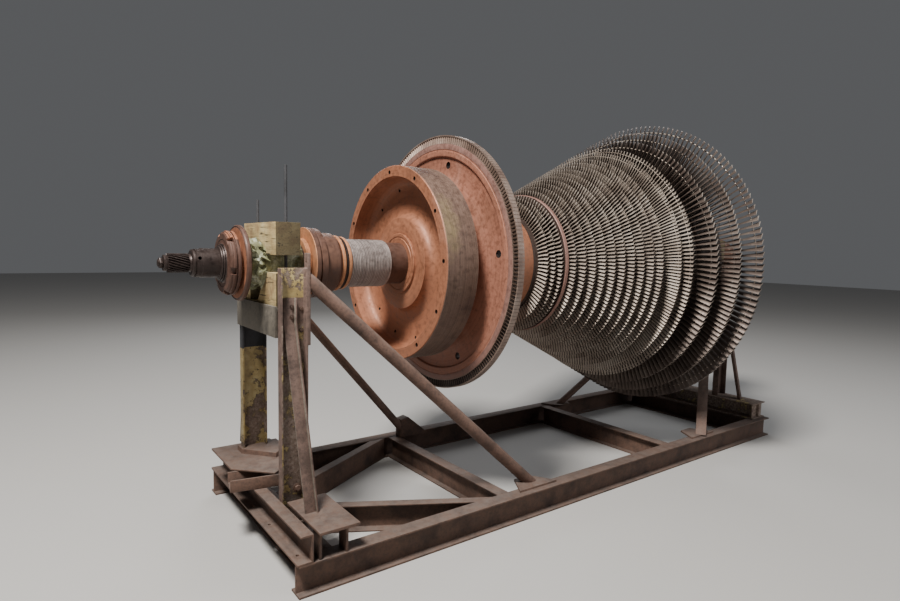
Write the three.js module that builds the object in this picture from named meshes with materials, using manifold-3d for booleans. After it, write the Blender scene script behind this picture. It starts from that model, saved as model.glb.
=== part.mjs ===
// Steam turbine rotor lying in its storage stand.
// Millimetres, +Z up. X runs along the rotor, from the splined end to the large last blade row.
// The origin lies on the floor, under the middle of the whole.
import * as THREE from 'three';
import * as BufferGeometryUtils from 'three/addons/utils/BufferGeometryUtils.js';
import Module from 'manifold-3d';

const wasm = await Module();
wasm.setup();

// Driving sizes
const LENGTH = 4856; // tip of the end nut to the face of the rear coupling
const AXIS_HEIGHT = 1450; // rotor axis above the floor
const FIT = 0.3; // gap between pieces that touch
const RUNNING = 0.8; // radial gap between a journal and its saddle

// Stations along the rotor, measured from the tip of the end nut
const STUB_START = 24;
const COLLAR_START = 146;
const NECK_START = 190;
const SPACER_START = 273;
const RING_NUT_START = 294;
const RING_NUT_END = 345;
const THRUST_START = 361;
const JOURNAL_START = 387;
const JOURNAL_END = 690;
const OIL_RING_END = 716;
const DEFLECTOR_START = 718;
const DEFLECTOR_END = 746;
const SEAL_COLLAR_START = 752;
const SEAL_STEP = 790;
const SEAL_COLLAR_END = 889;
const SEAL_RING_END = 946;
const LABYRINTH_END = 1199;
const DRUM_FACE = 1272;
const DRUM_WEB = 1392;
const BOSS_FACE = 1331;
const DRUM_BACK = 1483;
const WHEEL_BEARING = 1561; // where the drum and the wheel meet
const WHEEL_FACE = 1582;
const SHROUD_END = 1624; // the shroud is narrower than the wheel's rim
const WHEEL_BACK = 1640;
const FIRST_ROW = 2130;
const REAR_SHAFT_START = 3625;
const REAR_JOURNAL_START = 4384;
const REAR_JOURNAL_END = 4689;
const SHAFT_STEP = 3720; // the rear shaft narrows over the next bit
const SHAFT_STEP_END = 3760;
const COUPLING_START = 4770;

// Radii on the rotor
const JOURNAL = 104;
const JOURNAL_SIDES = 48; // flats on a journal's wrap and in its saddle
const WRAP = 112;
const SHAFT_CORE = 60;
const DRUM_RADIUS = 574;
const DRUM_OPENING = 512;
const BOSS_RADIUS = 274;
const SEAT = 122; // the shaft's seat in the boss
const WHEEL_ROOT = 733;
const WHEEL_SHROUD = 783;
const BODY_NECK = 345;
const NUT_RING = 161;
const THRUST_RING = 192;
const OIL_RING = 135;
const DEFLECTOR = 193;
const SEAL_RING = 189;
const SLEEVE = 136;
const DRUM_SHOULDER = 430; // where the drum and the wheel meet
const REAR_SHAFT = 240;
const REAR_NECK = 190;
const COUPLING_HUB = 150;
const COUPLING = 235;

// Holes: the circle they lie on, and their own radius
const PIN_HOLE = 8;
const RIM_HOLE_CIRCLE = 538;
const RIM_HOLE = 12;
const BALANCE_CIRCLE = 607;
const BALANCE_HOLE = 22;
const COUPLING_CIRCLE = 190;
const COUPLING_HOLE = 17;

// Base frame
const SKID_FRONT = 408;
const SKID_REAR = 4636;
const SKID_HALF_WIDTH = 705;
const BEAM_HEIGHT = 150;
const BEAM_WIDTH = 90;
const STEEL = 9;
const RAISED_HEIGHT = 132;
const CHANNEL_DEPTH = 137; // a column's size along the rotor
const CHANNEL_FLANGE = 50;

// Front and rear pedestals
const FRONT_STAND = 545; // middle of the front columns
const REAR_STAND = 4536;
const REAR_BEAM_WIDTH = 200; // the two beams stacked under the rear pedestal
const COLUMN_WEB = 275; // the columns' clear half distance
const COLUMN_TOP = 1436;
const RAKER_TOP = 1290;
const RAKER_BEND = 1165; // above this a raking strut lies flat against its column
const RAKER_FOOT = 539; // how far from the middle a raking strut comes down
const RAKER_WIDTH = 60;
const RAKER_FLANGE = 24;
const RAKER_WALL = 7;
const RAKER_SLANT = [-14, 13]; // along the rotor, at its head and at its foot
const LUG = 12;
const SADDLE_HALF_WIDTH = 240;
const SADDLE_DEPTH = 126;
const CHOCK_TOP = AXIS_HEIGHT - 42;
const BOARD = 15; // thickness of the board under the two chocks of a saddle
const CROSS_BEAM_TOP = AXIS_HEIGHT - 215;
const CROSS_BEAM_HEIGHT = { front: 140, rear: 165 };
const CROSS_BEAM_WIDTH = 100;
const CROSS_BEAM_WALL = 12;
const APRON_TOP = CROSS_BEAM_TOP + 12; // the apron is the plate across the outer face of both columns
const APRON_BOTTOM = CROSS_BEAM_TOP - 140;
const CAP_BOTTOM = AXIS_HEIGHT + 46;
const CAP_TOP = AXIS_HEIGHT + 208;
const ROD_OFFSET = 207;
const ROD_RADIUS = 8;
const ROD_TOPS = [487, 339]; // near and far, above the rotor axis
const PIPE_RADIUS = 35; // near brace; the far ones are thinner
const FAR_PIPE_RADIUS = 27;

const rotor = new THREE.Group();
const stand = new THREE.Group();
rotor.position.set(-LENGTH / 2, 0, AXIS_HEIGHT);
stand.position.set(-LENGTH / 2, 0, 0);

function finish(color, roughness, metalness) {
  return new THREE.MeshStandardMaterial({ color, roughness, metalness });
}
const darkSteel = finish(0x3c3230, 0.55, 0.7);
const rustySteel = finish(0x9a5638, 0.7, 0.45);
const groovedSteel = finish(0x6f6253, 0.6, 0.6);
const bladeSteel = finish(0x9c9184, 0.45, 0.75);
const yellowPaint = finish(0x9c8f4c, 0.75, 0.2);
const frameSteel = finish(0x54413a, 0.8, 0.4);
const pipeSteel = finish(0x8a6a58, 0.7, 0.4);
const timber = finish(0xa9985c, 0.85, 0);
const wrapping = finish(0xb0aa72, 0.9, 0);

function add(group, name, geometry, material) {
  const mesh = new THREE.Mesh(geometry, material);
  mesh.name = name;
  group.add(mesh);
  return mesh;
}

// A closed solid for joining and cutting, from a closed geometry
function solid(geometry) {
  const bare = geometry.clone();
  bare.deleteAttribute('normal');
  bare.deleteAttribute('uv');
  const merged = BufferGeometryUtils.mergeVertices(bare, 1e-4);
  const mesh = new wasm.Mesh({
    numProp: 3,
    vertProperties: new Float32Array(merged.attributes.position.array),
    triVerts: new Uint32Array(merged.index.array),
  });
  return new wasm.Manifold(mesh);
}

function geometryOf(manifold) {
  const mesh = manifold.getMesh();
  const geometry = new THREE.BufferGeometry();
  geometry.setAttribute('position', new THREE.BufferAttribute(mesh.vertProperties, 3));
  geometry.setIndex(new THREE.BufferAttribute(mesh.triVerts, 1));
  return geometry;
}

function cut(geometry, ...tools) {
  return geometryOf(tools.reduce((body, tool) => body.subtract(solid(tool)), solid(geometry)));
}

function join(geometry, ...others) {
  return geometryOf(others.reduce((body, other) => body.add(solid(other)), solid(geometry)));
}

// The radius of a faceted bore whose flats clear a round of the given radius
const SIDES = 24;
function boreRadius(radius, sides = SIDES) {
  return (radius + FIT) / Math.cos(Math.PI / sides);
}

// Turns an outline of [station, radius] points about the rotor axis
function turned(outline, segments = SIDES) {
  const points = outline.map(([station, radius]) => new THREE.Vector2(radius, station));
  const geometry = new THREE.LatheGeometry(points, segments);
  geometry.rotateZ(-Math.PI / 2);
  geometry.rotateX(Math.PI);
  return geometry;
}

// A turned piece with no bore: the outline starts and ends on the axis
function turnedBar(outline, segments) {
  const first = outline[0][0];
  const last = outline[outline.length - 1][0];
  return turned([[first, 0], ...outline, [last, 0]], segments);
}

// A turned piece with a straight bore
function turnedRing(outline, bore, segments) {
  const first = outline[0][0];
  const last = outline[outline.length - 1][0];
  return turned([[first, bore], ...outline, [last, bore], [first, bore]], segments);
}

function disc(start, end, radius, bore, segments) {
  return turnedRing([[start, radius], [end, radius]], bore, segments);
}

function box(x0, x1, y0, y1, z0, z1) {
  const geometry = new THREE.BoxGeometry(x1 - x0, y1 - y0, z1 - z0);
  geometry.translate((x0 + x1) / 2, (y0 + y1) / 2, (z0 + z1) / 2);
  return geometry;
}

// A round bar from one point to another
function bar(from, to, radius, sides = 16) {
  const start = new THREE.Vector3(...from);
  const end = new THREE.Vector3(...to);
  const along = end.clone().sub(start);
  const geometry = new THREE.CylinderGeometry(radius, radius, along.length(), sides);
  geometry.applyQuaternion(
    new THREE.Quaternion().setFromUnitVectors(new THREE.Vector3(0, 1, 0), along.clone().normalize()),
  );
  geometry.translate(...start.clone().add(end).multiplyScalar(0.5).toArray());
  return geometry;
}

function outline(points) {
  return new THREE.Shape(points.map(([u, v]) => new THREE.Vector2(u, v)));
}

// Rolled sections, drawn around the middle of their height
function beamSection(height, width, wall = STEEL) {
  const h = height / 2;
  const w = width / 2;
  const t = wall / 2;
  return outline([
    [-w, -h], [w, -h], [w, -h + wall], [t, -h + wall], [t, h - wall], [w, h - wall],
    [w, h], [-w, h], [-w, h - wall], [-t, h - wall], [-t, -h + wall], [-w, -h + wall],
  ]);
}

// A channel whose web lies on u = 0 and whose flanges point to +u
function channelSection(height, flange, wall = STEEL, lowerFlange = flange) {
  const h = height / 2;
  return outline([
    [0, -h], [lowerFlange, -h], [lowerFlange, -h + wall], [wall, -h + wall],
    [wall, h - wall], [flange, h - wall], [flange, h], [0, h],
  ]);
}

// An angle whose web lies on u = 0. end is 1 or -1: its flange stands at that end of v
function angleSection(height, flange, wall, end) {
  const h = (end * height) / 2;
  const inner = h - end * wall;
  return outline([[0, -h], [wall, -h], [wall, inner], [flange, inner], [flange, h], [0, h]]);
}

// Lays a section along a line: its u axis points along side, its v axis is square to both
function profile(section, from, to, side) {
  const start = new THREE.Vector3(...from);
  const along = new THREE.Vector3(...to).sub(start);
  const length = along.length();
  along.normalize();
  const u = new THREE.Vector3(...side);
  u.addScaledVector(along, -u.dot(along)).normalize();
  const v = new THREE.Vector3().crossVectors(along, u);
  const geometry = new THREE.ExtrudeGeometry(section, { depth: length, bevelEnabled: false });
  geometry.applyMatrix4(new THREE.Matrix4().makeBasis(u, v, along));
  geometry.translate(...start.toArray());
  return geometry;
}

// Front shaft end
const NUT_RADIUS = 28;
add(rotor, 'end_nut', turnedBar([[0, 18], [6, NUT_RADIUS], [STUB_START - FIT, NUT_RADIUS]], 6), darkSteel);

const SPLINE_TEETH = 14;
const SPLINE_TWIST = 0.35; // radians that a tooth turns along the stub
function splinedStub() {
  const points = [];
  for (let tooth = 0; tooth < SPLINE_TEETH; tooth += 1) {
    for (const [part, radius] of [[0, 37], [0.15, 46], [0.5, 46], [0.65, 37]]) {
      const angle = ((tooth + part) / SPLINE_TEETH) * 2 * Math.PI;
      points.push([radius * Math.cos(angle), radius * Math.sin(angle)]);
    }
  }
  const depth = COLLAR_START - STUB_START - FIT;
  const settings = { depth, steps: 4, bevelEnabled: false };
  const geometry = new THREE.ExtrudeGeometry(outline(points), settings);
  const position = geometry.attributes.position;
  for (let i = 0; i < position.count; i += 1) {
    const point = new THREE.Vector3().fromBufferAttribute(position, i);
    point.applyAxisAngle(new THREE.Vector3(0, 0, 1), (SPLINE_TWIST * point.z) / depth);
    position.setXYZ(i, point.z + STUB_START, point.x, point.y);
  }
  return geometry;
}
add(rotor, 'splined_stub', splinedStub(), darkSteel);

const shaftOutline = [
  [COLLAR_START, 62], [COLLAR_START + 6, 69], [NECK_START, 69], [NECK_START, 72], [SPACER_START, 72],
  [SPACER_START, 84], [SPACER_START + 8, 92], [RING_NUT_START - FIT, 99],
  [RING_NUT_START - FIT, SHAFT_CORE],
  [JOURNAL_START, SHAFT_CORE], [JOURNAL_START, JOURNAL],
  [JOURNAL_END, JOURNAL], [JOURNAL_END, SHAFT_CORE + 20], [LABYRINTH_END, SHAFT_CORE + 20],
  [LABYRINTH_END, SEAT], [BOSS_FACE + 20, SEAT], [BOSS_FACE + 20, SHAFT_CORE],
  [WHEEL_BEARING - FIT, SHAFT_CORE],
];
const pinStation = (COLLAR_START + NECK_START) / 2;
const pinHole = bar([pinStation, 0, 30], [pinStation, 0, 90], PIN_HOLE, 12);
add(rotor, 'front_shaft', cut(turnedBar(shaftOutline), pinHole), darkSteel);

const innerBore = boreRadius(SHAFT_CORE);
const sleeveBore = boreRadius(SHAFT_CORE + 20);

const NUT_SLOTS = 6;
const NUT_PHASE = 0.75; // radians that the first slot lies from the top
function ringNut() {
  const slots = [];
  for (let i = 0; i < NUT_SLOTS; i += 1) {
    const slot = box(RING_NUT_START - 5, RING_NUT_START + 24, -10, 10, 138, 180);
    slot.rotateX((i / NUT_SLOTS) * 2 * Math.PI + NUT_PHASE);
    slots.push(slot);
  }
  const ring = turnedRing([
    [RING_NUT_START, NUT_RING - 11], [RING_NUT_START + 8, NUT_RING], [RING_NUT_END - FIT, NUT_RING],
  ], innerBore);
  return cut(ring, ...slots);
}
add(rotor, 'ring_nut', ringNut(), rustySteel);
add(rotor, 'thrust_collar', turnedRing([
  [RING_NUT_END, 125], [THRUST_START, 125],
  [THRUST_START, THRUST_RING - 6], [THRUST_START + 5, THRUST_RING],
  [JOURNAL_START - 5, THRUST_RING], [JOURNAL_START - FIT, THRUST_RING - 6],
], innerBore), rustySteel);
const wrapBore = JOURNAL + FIT;
add(rotor, 'front_journal_wrap',
  disc(JOURNAL_START + 4, JOURNAL_END - 8, WRAP, wrapBore, JOURNAL_SIDES), wrapping);

// Oil and steam seals behind the front journal
add(rotor, 'oil_deflector', turnedRing([
  [JOURNAL_END + FIT, OIL_RING], [OIL_RING_END, OIL_RING],
  [OIL_RING_END, OIL_RING - 15], [DEFLECTOR_START, OIL_RING - 15],
  [DEFLECTOR_START, DEFLECTOR], [DEFLECTOR_END, DEFLECTOR],
  [DEFLECTOR_END, 150], [SEAL_COLLAR_START - FIT, 150],
], sleeveBore), rustySteel);
add(rotor, 'seal_collar', turnedRing([
  [SEAL_COLLAR_START, SEAL_RING - 7], [SEAL_COLLAR_START + 6, SEAL_RING],
  [SEAL_STEP - 6, SEAL_RING], [SEAL_STEP, 165],
  [SEAL_COLLAR_END - 20, 165], [SEAL_COLLAR_END, 150],
  [SEAL_COLLAR_END, 154], [SEAL_COLLAR_END + 20, 154], [SEAL_COLLAR_END + 20, 142],
  [SEAL_COLLAR_END + 36, 142], [SEAL_COLLAR_END + 36, 148], [SEAL_RING_END - FIT, 148],
], sleeveBore), rustySteel);
const LABYRINTH_FINS = 2;
const labyrinthOutline = [];
for (let fin = 0; fin < LABYRINTH_FINS; fin += 1) {
  const pitch = (LABYRINTH_END - SEAL_RING_END) / LABYRINTH_FINS;
  const start = SEAL_RING_END + fin * pitch;
  labyrinthOutline.push([start, SLEEVE], [start + pitch * 0.7, SLEEVE]);
  labyrinthOutline.push([start + pitch * 0.7, SLEEVE - 5], [start + pitch - FIT, SLEEVE - 5]);
}
add(rotor, 'labyrinth_sleeve', turnedRing(labyrinthOutline, sleeveBore), groovedSteel);

// Balance drum: a deep cup whose rim faces the front
const RIM_HOLES = 12;
const CUP_SIDES = 32;
function balanceDrum() {
  const bore = boreRadius(SHAFT_CORE, CUP_SIDES);
  const seat = boreRadius(SEAT, CUP_SIDES);
  const shell = turned([
    [DRUM_FACE, DRUM_OPENING], [DRUM_FACE, DRUM_RADIUS - 4], [DRUM_FACE + 4, DRUM_RADIUS],
    [DRUM_BACK, DRUM_RADIUS], [DRUM_BACK, DRUM_SHOULDER], [WHEEL_BEARING - FIT, DRUM_SHOULDER],
    [WHEEL_BEARING - FIT, bore],
    [BOSS_FACE + 20 + FIT, bore], [BOSS_FACE + 20 + FIT, seat], [BOSS_FACE - 13, seat],
    [BOSS_FACE - 13, 178], [BOSS_FACE, 178], [BOSS_FACE, BOSS_RADIUS], [DRUM_WEB - 22, BOSS_RADIUS + 6],
    [DRUM_WEB, BOSS_RADIUS + 66], [DRUM_WEB, DRUM_OPENING - 36], [DRUM_WEB - 36, DRUM_OPENING - 8],
    [DRUM_FACE, DRUM_OPENING],
  ], CUP_SIDES);
  const holes = [];
  for (let i = 0; i < RIM_HOLES; i += 1) {
    const angle = ((i + 0.9) / RIM_HOLES) * 2 * Math.PI;
    const at = [RIM_HOLE_CIRCLE * Math.cos(angle), RIM_HOLE_CIRCLE * Math.sin(angle)];
    holes.push(bar([DRUM_FACE - 10, ...at], [DRUM_FACE + 35, ...at], RIM_HOLE, 8));
  }
  return cut(shell, ...holes);
}
add(rotor, 'balance_drum', balanceDrum(), rustySteel);

// Control wheel with its short shrouded blades
const BALANCE_HOLES = 5;
const WHEEL_SIDES = 40;
function controlWheel() {
  const wheel = turned([
    [WHEEL_BEARING, 0], [WHEEL_BEARING, 440], [WHEEL_FACE + 12, 520], [WHEEL_FACE + 12, 652],
    [WHEEL_FACE, 660], [WHEEL_FACE, WHEEL_ROOT - FIT], [WHEEL_BACK, WHEEL_ROOT - FIT],
    [WHEEL_BACK, 600], [WHEEL_BACK + 30, BODY_NECK + 40], [WHEEL_BACK + 60, BODY_NECK],
    [WHEEL_BACK + 60, 0],
  ], WHEEL_SIDES);
  const holes = [];
  for (let i = 0; i < BALANCE_HOLES; i += 1) {
    const angle = ((i + 0.41) / BALANCE_HOLES) * 2 * Math.PI;
    const at = [BALANCE_CIRCLE * Math.cos(angle), BALANCE_CIRCLE * Math.sin(angle)];
    holes.push(bar([WHEEL_FACE - 40, ...at], [WHEEL_BACK + 60, ...at], BALANCE_HOLE, 10));
  }
  return cut(wheel, ...holes);
}
add(rotor, 'control_wheel', controlWheel(), rustySteel);
add(rotor, 'control_blading', turnedRing([
  [WHEEL_FACE + 6, WHEEL_ROOT + 1], [WHEEL_FACE + 6, WHEEL_SHROUD - 8], [WHEEL_FACE, WHEEL_SHROUD - 8],
  [WHEEL_FACE, WHEEL_SHROUD], [SHROUD_END, WHEEL_SHROUD - 3],
], WHEEL_ROOT, WHEEL_SIDES), bladeSteel);

// Blade rows: station of the row, tip radius and root radius
const ROW_WIDTH = 34;
const OPEN_WIDTH = 70; // width of the last three rows
const ROWS = [];
function addRows(count, station, pitch, tip, tipStep, root, rootStep) {
  for (let i = 0; i < count; i += 1) {
    ROWS.push({ station: station + i * pitch, tip: tip + i * tipStep, root: root + i * rootStep });
  }
}
addRows(3, FIRST_ROW + 20, 46, 430, 18, 350, 4);
addRows(10, FIRST_ROW + 194, 60.6, 505, 29.5, 425, 24);
addRows(1, 2985, 0, 828, 0, 668, 0);
addRows(1, 3060, 0, 868, 0, 690, 0);
addRows(3, 3205, 153, 945, 75, 705, 32);

// The drum in three lengths. Its fine rows are plain rings on it, and a land closes the first length
const LAND_START = FIRST_ROW + 152;
const LAND_END = LAND_START + 28;
const FIRST_GROUP = 3;
const MIDDLE_GROUP = 13;
const REAR_DRUM_START = 2935;
const DRUM_SIDES = 24;
const LAND_RADIUS = 470;
function drumBody(name, from, plain, to, before, after) {
  const points = [];
  for (const [index, row] of ROWS.slice(from, to).entries()) {
    const end = row.station + ROW_WIDTH;
    points.push([row.station, row.root]);
    if (index < plain) {
      points.push([row.station, row.tip], [end, row.tip], [end, row.root]);
    } else {
      points.push([row.station + OPEN_WIDTH, row.root]);
    }
  }
  add(rotor, name, turnedBar([...before, ...points, ...after], DRUM_SIDES), groovedSteel);
}
drumBody('front_drum', 0, 3, FIRST_GROUP,
  [[WHEEL_BACK + 60 + FIT, BODY_NECK], [FIRST_ROW, BODY_NECK]],
  [[LAND_START, ROWS[2].root], [LAND_START, LAND_RADIUS], [LAND_END, LAND_RADIUS]]);
drumBody('middle_drum', FIRST_GROUP, 10, MIDDLE_GROUP,
  [[LAND_END + FIT, ROWS[3].root]], [[REAR_DRUM_START, ROWS[12].root]]);
drumBody('rear_drum', MIDDLE_GROUP, 2, ROWS.length,
  [[REAR_DRUM_START + FIT, ROWS[13].root - 10]],
  [[REAR_SHAFT_START, ROWS[17].root], [REAR_SHAFT_START, 300]]);

// The last three rows are long open blades that lean across their width
function openRow(row, width, blades, lean) {
  const points = [];
  for (let blade = 0; blade < blades; blade += 1) {
    for (const [part, radius] of [[0, row.root + 12], [0, row.tip], [0.3, row.tip], [0.3, row.root + 12]]) {
      const angle = ((blade + part) / blades) * 2 * Math.PI;
      points.push([radius * Math.cos(angle), radius * Math.sin(angle)]);
    }
  }
  const shape = outline(points);
  const bore = new THREE.Path();
  const bored = [];
  const inner = row.root + FIT;
  for (let i = 0; i < DRUM_SIDES; i += 1) {
    const angle = (-i / DRUM_SIDES) * 2 * Math.PI;
    bored.push(new THREE.Vector2(inner * Math.cos(angle), inner * Math.sin(angle)));
  }
  bore.setFromPoints(bored);
  shape.holes.push(bore);
  const settings = { depth: width, bevelEnabled: false, curveSegments: 1 };
  const geometry = new THREE.ExtrudeGeometry(shape, settings);
  const position = geometry.attributes.position;
  for (let i = 0; i < position.count; i += 1) {
    const point = new THREE.Vector3().fromBufferAttribute(position, i);
    const reach = (Math.hypot(point.x, point.y) - row.root) / (row.tip - row.root);
    point.applyAxisAngle(new THREE.Vector3(0, 0, 1), (lean * Math.max(reach, 0) * point.z) / width);
    position.setXYZ(i, point.z + row.station, point.x, point.y);
  }
  return geometry;
}
const OPEN_BLADES = 40;
const OPEN_LEAN = 0.02; // radians that a blade's tip turns across the row
for (const index of [15, 16, 17]) {
  const row = openRow(ROWS[index], OPEN_WIDTH, OPEN_BLADES, OPEN_LEAN);
  add(rotor, `blade_row_${index + 1}`, row, bladeSteel);
}

// Rear shaft, its journal, and the flange that drives the generator
add(rotor, 'rear_shaft', turnedBar([
  [REAR_SHAFT_START + FIT, REAR_SHAFT], [SHAFT_STEP, REAR_SHAFT], [SHAFT_STEP_END, REAR_NECK],
  [REAR_JOURNAL_START, REAR_NECK], [REAR_JOURNAL_START, JOURNAL], [REAR_JOURNAL_END, JOURNAL],
  [REAR_JOURNAL_END, COUPLING_HUB], [COUPLING_START - FIT, COUPLING_HUB],
]), darkSteel);
add(rotor, 'rear_journal_wrap',
  disc(REAR_JOURNAL_START + 4, REAR_JOURNAL_END - 4, WRAP, wrapBore, JOURNAL_SIDES), wrapping);
const COUPLING_HOLES = 6;
function coupling() {
  const flange = turnedBar([[COUPLING_START, COUPLING], [LENGTH, COUPLING]]);
  const holes = [];
  for (let i = 0; i < COUPLING_HOLES; i += 1) {
    const angle = (i / COUPLING_HOLES) * 2 * Math.PI;
    const at = [COUPLING_CIRCLE * Math.cos(angle), COUPLING_CIRCLE * Math.sin(angle)];
    holes.push(bar([COUPLING_START - 10, ...at], [LENGTH + 10, ...at], COUPLING_HOLE, 10));
  }
  return cut(flange, ...holes);
}
add(rotor, 'rear_coupling', coupling(), rustySteel);

// Base frame: two long beams, with the welded foot plates of the pipe braces
const beamMiddle = BEAM_HEIGHT / 2;
const innerFace = SKID_HALF_WIDTH - BEAM_WIDTH;
const FRONT_FOOT = 1906; // stations of the foot plates
const REAR_FOOT = 3416;
const REAR_NEAR_FOOT = 3669;
const FOOT_LENGTH = 300;
const FOOT_TIP = 120;
const FOOT_WIDTH = 150;
const FOOT_OVERHANG = 50;
const PLATE = 12;
const WELD = 0.5; // how far a welded piece sinks in
const plateTop = BEAM_HEIGHT + PLATE;
function footPlate(x, side) {
  const shape = outline([
    [-FOOT_LENGTH / 2, 0], [FOOT_LENGTH / 2, 0],
    [FOOT_TIP / 2, FOOT_WIDTH], [-FOOT_TIP / 2, FOOT_WIDTH],
  ]);
  const geometry = new THREE.ExtrudeGeometry(shape, { depth: PLATE + WELD, bevelEnabled: false });
  if (side > 0) {
    geometry.rotateZ(Math.PI);
  }
  geometry.translate(x, side * (innerFace + FOOT_OVERHANG), BEAM_HEIGHT - WELD);
  return geometry;
}
for (const [name, side, feet] of [
  ['near_long_beam', -1, [FRONT_FOOT, REAR_NEAR_FOOT]],
  ['far_long_beam', 1, [REAR_FOOT]],
]) {
  const y = side * (SKID_HALF_WIDTH - BEAM_WIDTH / 2);
  const beam = profile(beamSection(BEAM_HEIGHT, BEAM_WIDTH), [SKID_FRONT, y, beamMiddle],
    [SKID_REAR, y, beamMiddle], [0, 1, 0]);
  add(stand, name, join(beam, ...feet.map((x) => footPlate(x, side))), frameSteel);
}

const crossHeight = BEAM_HEIGHT - 2; // a little lower than the long beams
const crossMiddle = crossHeight / 2;
const CROSS_WIDTH = 80;
const FRONT_CROSS_WIDTH = 124;
const CROSS_STATIONS = {
  front_lower_cross: FRONT_STAND,
  front_cross: 1673,
  middle_cross: 3256,
  rear_lower_cross: REAR_STAND,
};
for (const [name, x] of Object.entries(CROSS_STATIONS)) {
  const wide = { front_lower_cross: FRONT_CROSS_WIDTH, rear_lower_cross: REAR_BEAM_WIDTH };
  const width = wide[name] ?? CROSS_WIDTH;
  add(stand, name, profile(beamSection(crossHeight, width), [x, -innerFace + FIT, crossMiddle],
    [x, innerFace - FIT, crossMiddle], [1, 0, 0]), frameSteel);
}

// Two braces in plan, from the middle of the front to the ends of the cross member
const PLAN_FLANGE = 60;
const PLAN_END = 700; // half distance at which the braces would end beyond the cross member
const SPARE = 120; // length that is cut off at each end
const braceStart = FRONT_STAND + FRONT_CROSS_WIDTH / 2 + FIT;
const braceEnd = CROSS_STATIONS.front_cross - CROSS_WIDTH / 2 - FIT;
const FAR = 3000; // larger than the whole, for cutting tools
for (const [name, side] of [['near_plan_brace', -1], ['far_plan_brace', 1]]) {
  const from = [braceStart - SPARE, side * -10, crossMiddle];
  const to = [braceEnd + SPARE, side * PLAN_END, crossMiddle];
  const blank = profile(channelSection(crossHeight, PLAN_FLANGE), from, to, [0, side, 0]);
  const trimmed = cut(
    blank,
    box(0, braceStart, -FAR, FAR, -FAR, FAR),
    box(braceEnd, FAR, -FAR, FAR, -FAR, FAR),
    box(0, FAR, side > 0 ? innerFace - FIT : -FAR, side > 0 ? FAR : -innerFace + FIT, -FAR, FAR),
    box(0, FAR, side > 0 ? -FAR : -5, side > 0 ? 5 : FAR, -FAR, FAR),
  );
  add(stand, name, trimmed, frameSteel);
}

// Raised end beams, laid across the tops of the long beams. The front one is a channel that opens to
// the front, and its lower flange is the wider one. The rear one is closed by a plate at its near end
const raisedBottom = BEAM_HEIGHT + FIT;
const raisedMiddle = raisedBottom + RAISED_HEIGHT / 2;
const raisedTop = raisedBottom + RAISED_HEIGHT;
const columnFront = FRONT_STAND - CHANNEL_DEPTH / 2;
const RAISED_FLANGE = 60;
const RAISED_LOWER_FLANGE = 76;
const RAISED_HALF = 665;
const NEAR_OVERHANG = 40;
const END_PLATE = { halfWidth: 80, inset: 20, thickness: 10, margin: 4 };
const raisedBack = columnFront - FIT;
const raisedFront = raisedBack - RAISED_FLANGE;
const raisedSection = channelSection(RAISED_HEIGHT, RAISED_FLANGE, STEEL, RAISED_LOWER_FLANGE);
add(stand, 'front_raised_beam', profile(raisedSection,
  [raisedBack, -RAISED_HALF - NEAR_OVERHANG, raisedMiddle],
  [raisedBack, RAISED_HALF, raisedMiddle], [-1, 0, 0]), frameSteel);
const rearRaised = profile(beamSection(RAISED_HEIGHT, REAR_BEAM_WIDTH - 10),
  [REAR_STAND, -RAISED_HALF, raisedMiddle], [REAR_STAND, RAISED_HALF, raisedMiddle], [1, 0, 0]);
const endPlate = box(REAR_STAND - END_PLATE.halfWidth, REAR_STAND + END_PLATE.halfWidth,
  END_PLATE.inset - RAISED_HALF, END_PLATE.inset + END_PLATE.thickness - RAISED_HALF,
  raisedBottom + END_PLATE.margin, raisedTop - END_PLATE.margin);
add(stand, 'rear_raised_beam', join(rearRaised, endPlate), frameSteel);

// Stack under the front far column: a trough of channel across the raised beam, and on it
// a steel plate with a chock below and a block above, both set askew
const RUNNER_HEIGHT = 64;
const RUNNER_WIDTH = 136;
const RUNNER_START = { station: 313, y: -4 };
const RUNNER_END = { station: 640, y: -64 };
const runnerTop = raisedTop + FIT + RUNNER_HEIGHT;
const runnerMiddle = runnerTop - RUNNER_HEIGHT / 2;
const runnerFrom = [RUNNER_START.station, RUNNER_START.y, runnerMiddle];
const runnerTo = [RUNNER_END.station, RUNNER_END.y, runnerMiddle];

// A channel lying on its web, open at the top
function troughSection(width, height, wall = STEEL) {
  const w = width / 2;
  const h = height / 2;
  return outline([
    [-w, -h], [w, -h], [w, h], [w - wall, h],
    [w - wall, -h + wall], [-w + wall, -h + wall], [-w + wall, h], [-w, h],
  ]);
}
const trough = troughSection(RUNNER_WIDTH, RUNNER_HEIGHT);
add(stand, 'front_far_runner', profile(trough, runnerFrom, runnerTo, [0, 1, 0]), frameSteel);

const PACKING_TOP = 386;
const PACKING_PLATE = 10;
const PACKING_SINK = 1; // how far the chock and the block sink into the plate
const PLATE_CORNERS = [[346, 72], [518, -109], [690, 30], [690, 455], [346, 455]];
const CHOCK_CORNERS = [
  [raisedFront + 2, 290], [raisedFront + 58, 290], [raisedFront + 58, 420], [raisedFront + 2, 420],
];
const BLOCK_CORNERS = [[463, 268], [600, 100], [690, 175], [690, 345], [463, 345]];
const plateBottom = runnerTop + FIT;
function slab(corners, bottom, top) {
  const settings = { depth: top - bottom, bevelEnabled: false };
  const geometry = new THREE.ExtrudeGeometry(outline(corners), settings);
  geometry.translate(0, 0, bottom);
  return geometry;
}
const packing = join(
  slab(PLATE_CORNERS, plateBottom, plateBottom + PACKING_PLATE),
  slab(CHOCK_CORNERS, raisedTop + FIT, plateBottom + PACKING_SINK),
  slab(BLOCK_CORNERS, plateBottom + PACKING_PLATE - PACKING_SINK, PACKING_TOP),
);
add(stand, 'front_far_packing', packing, frameSteel);

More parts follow.
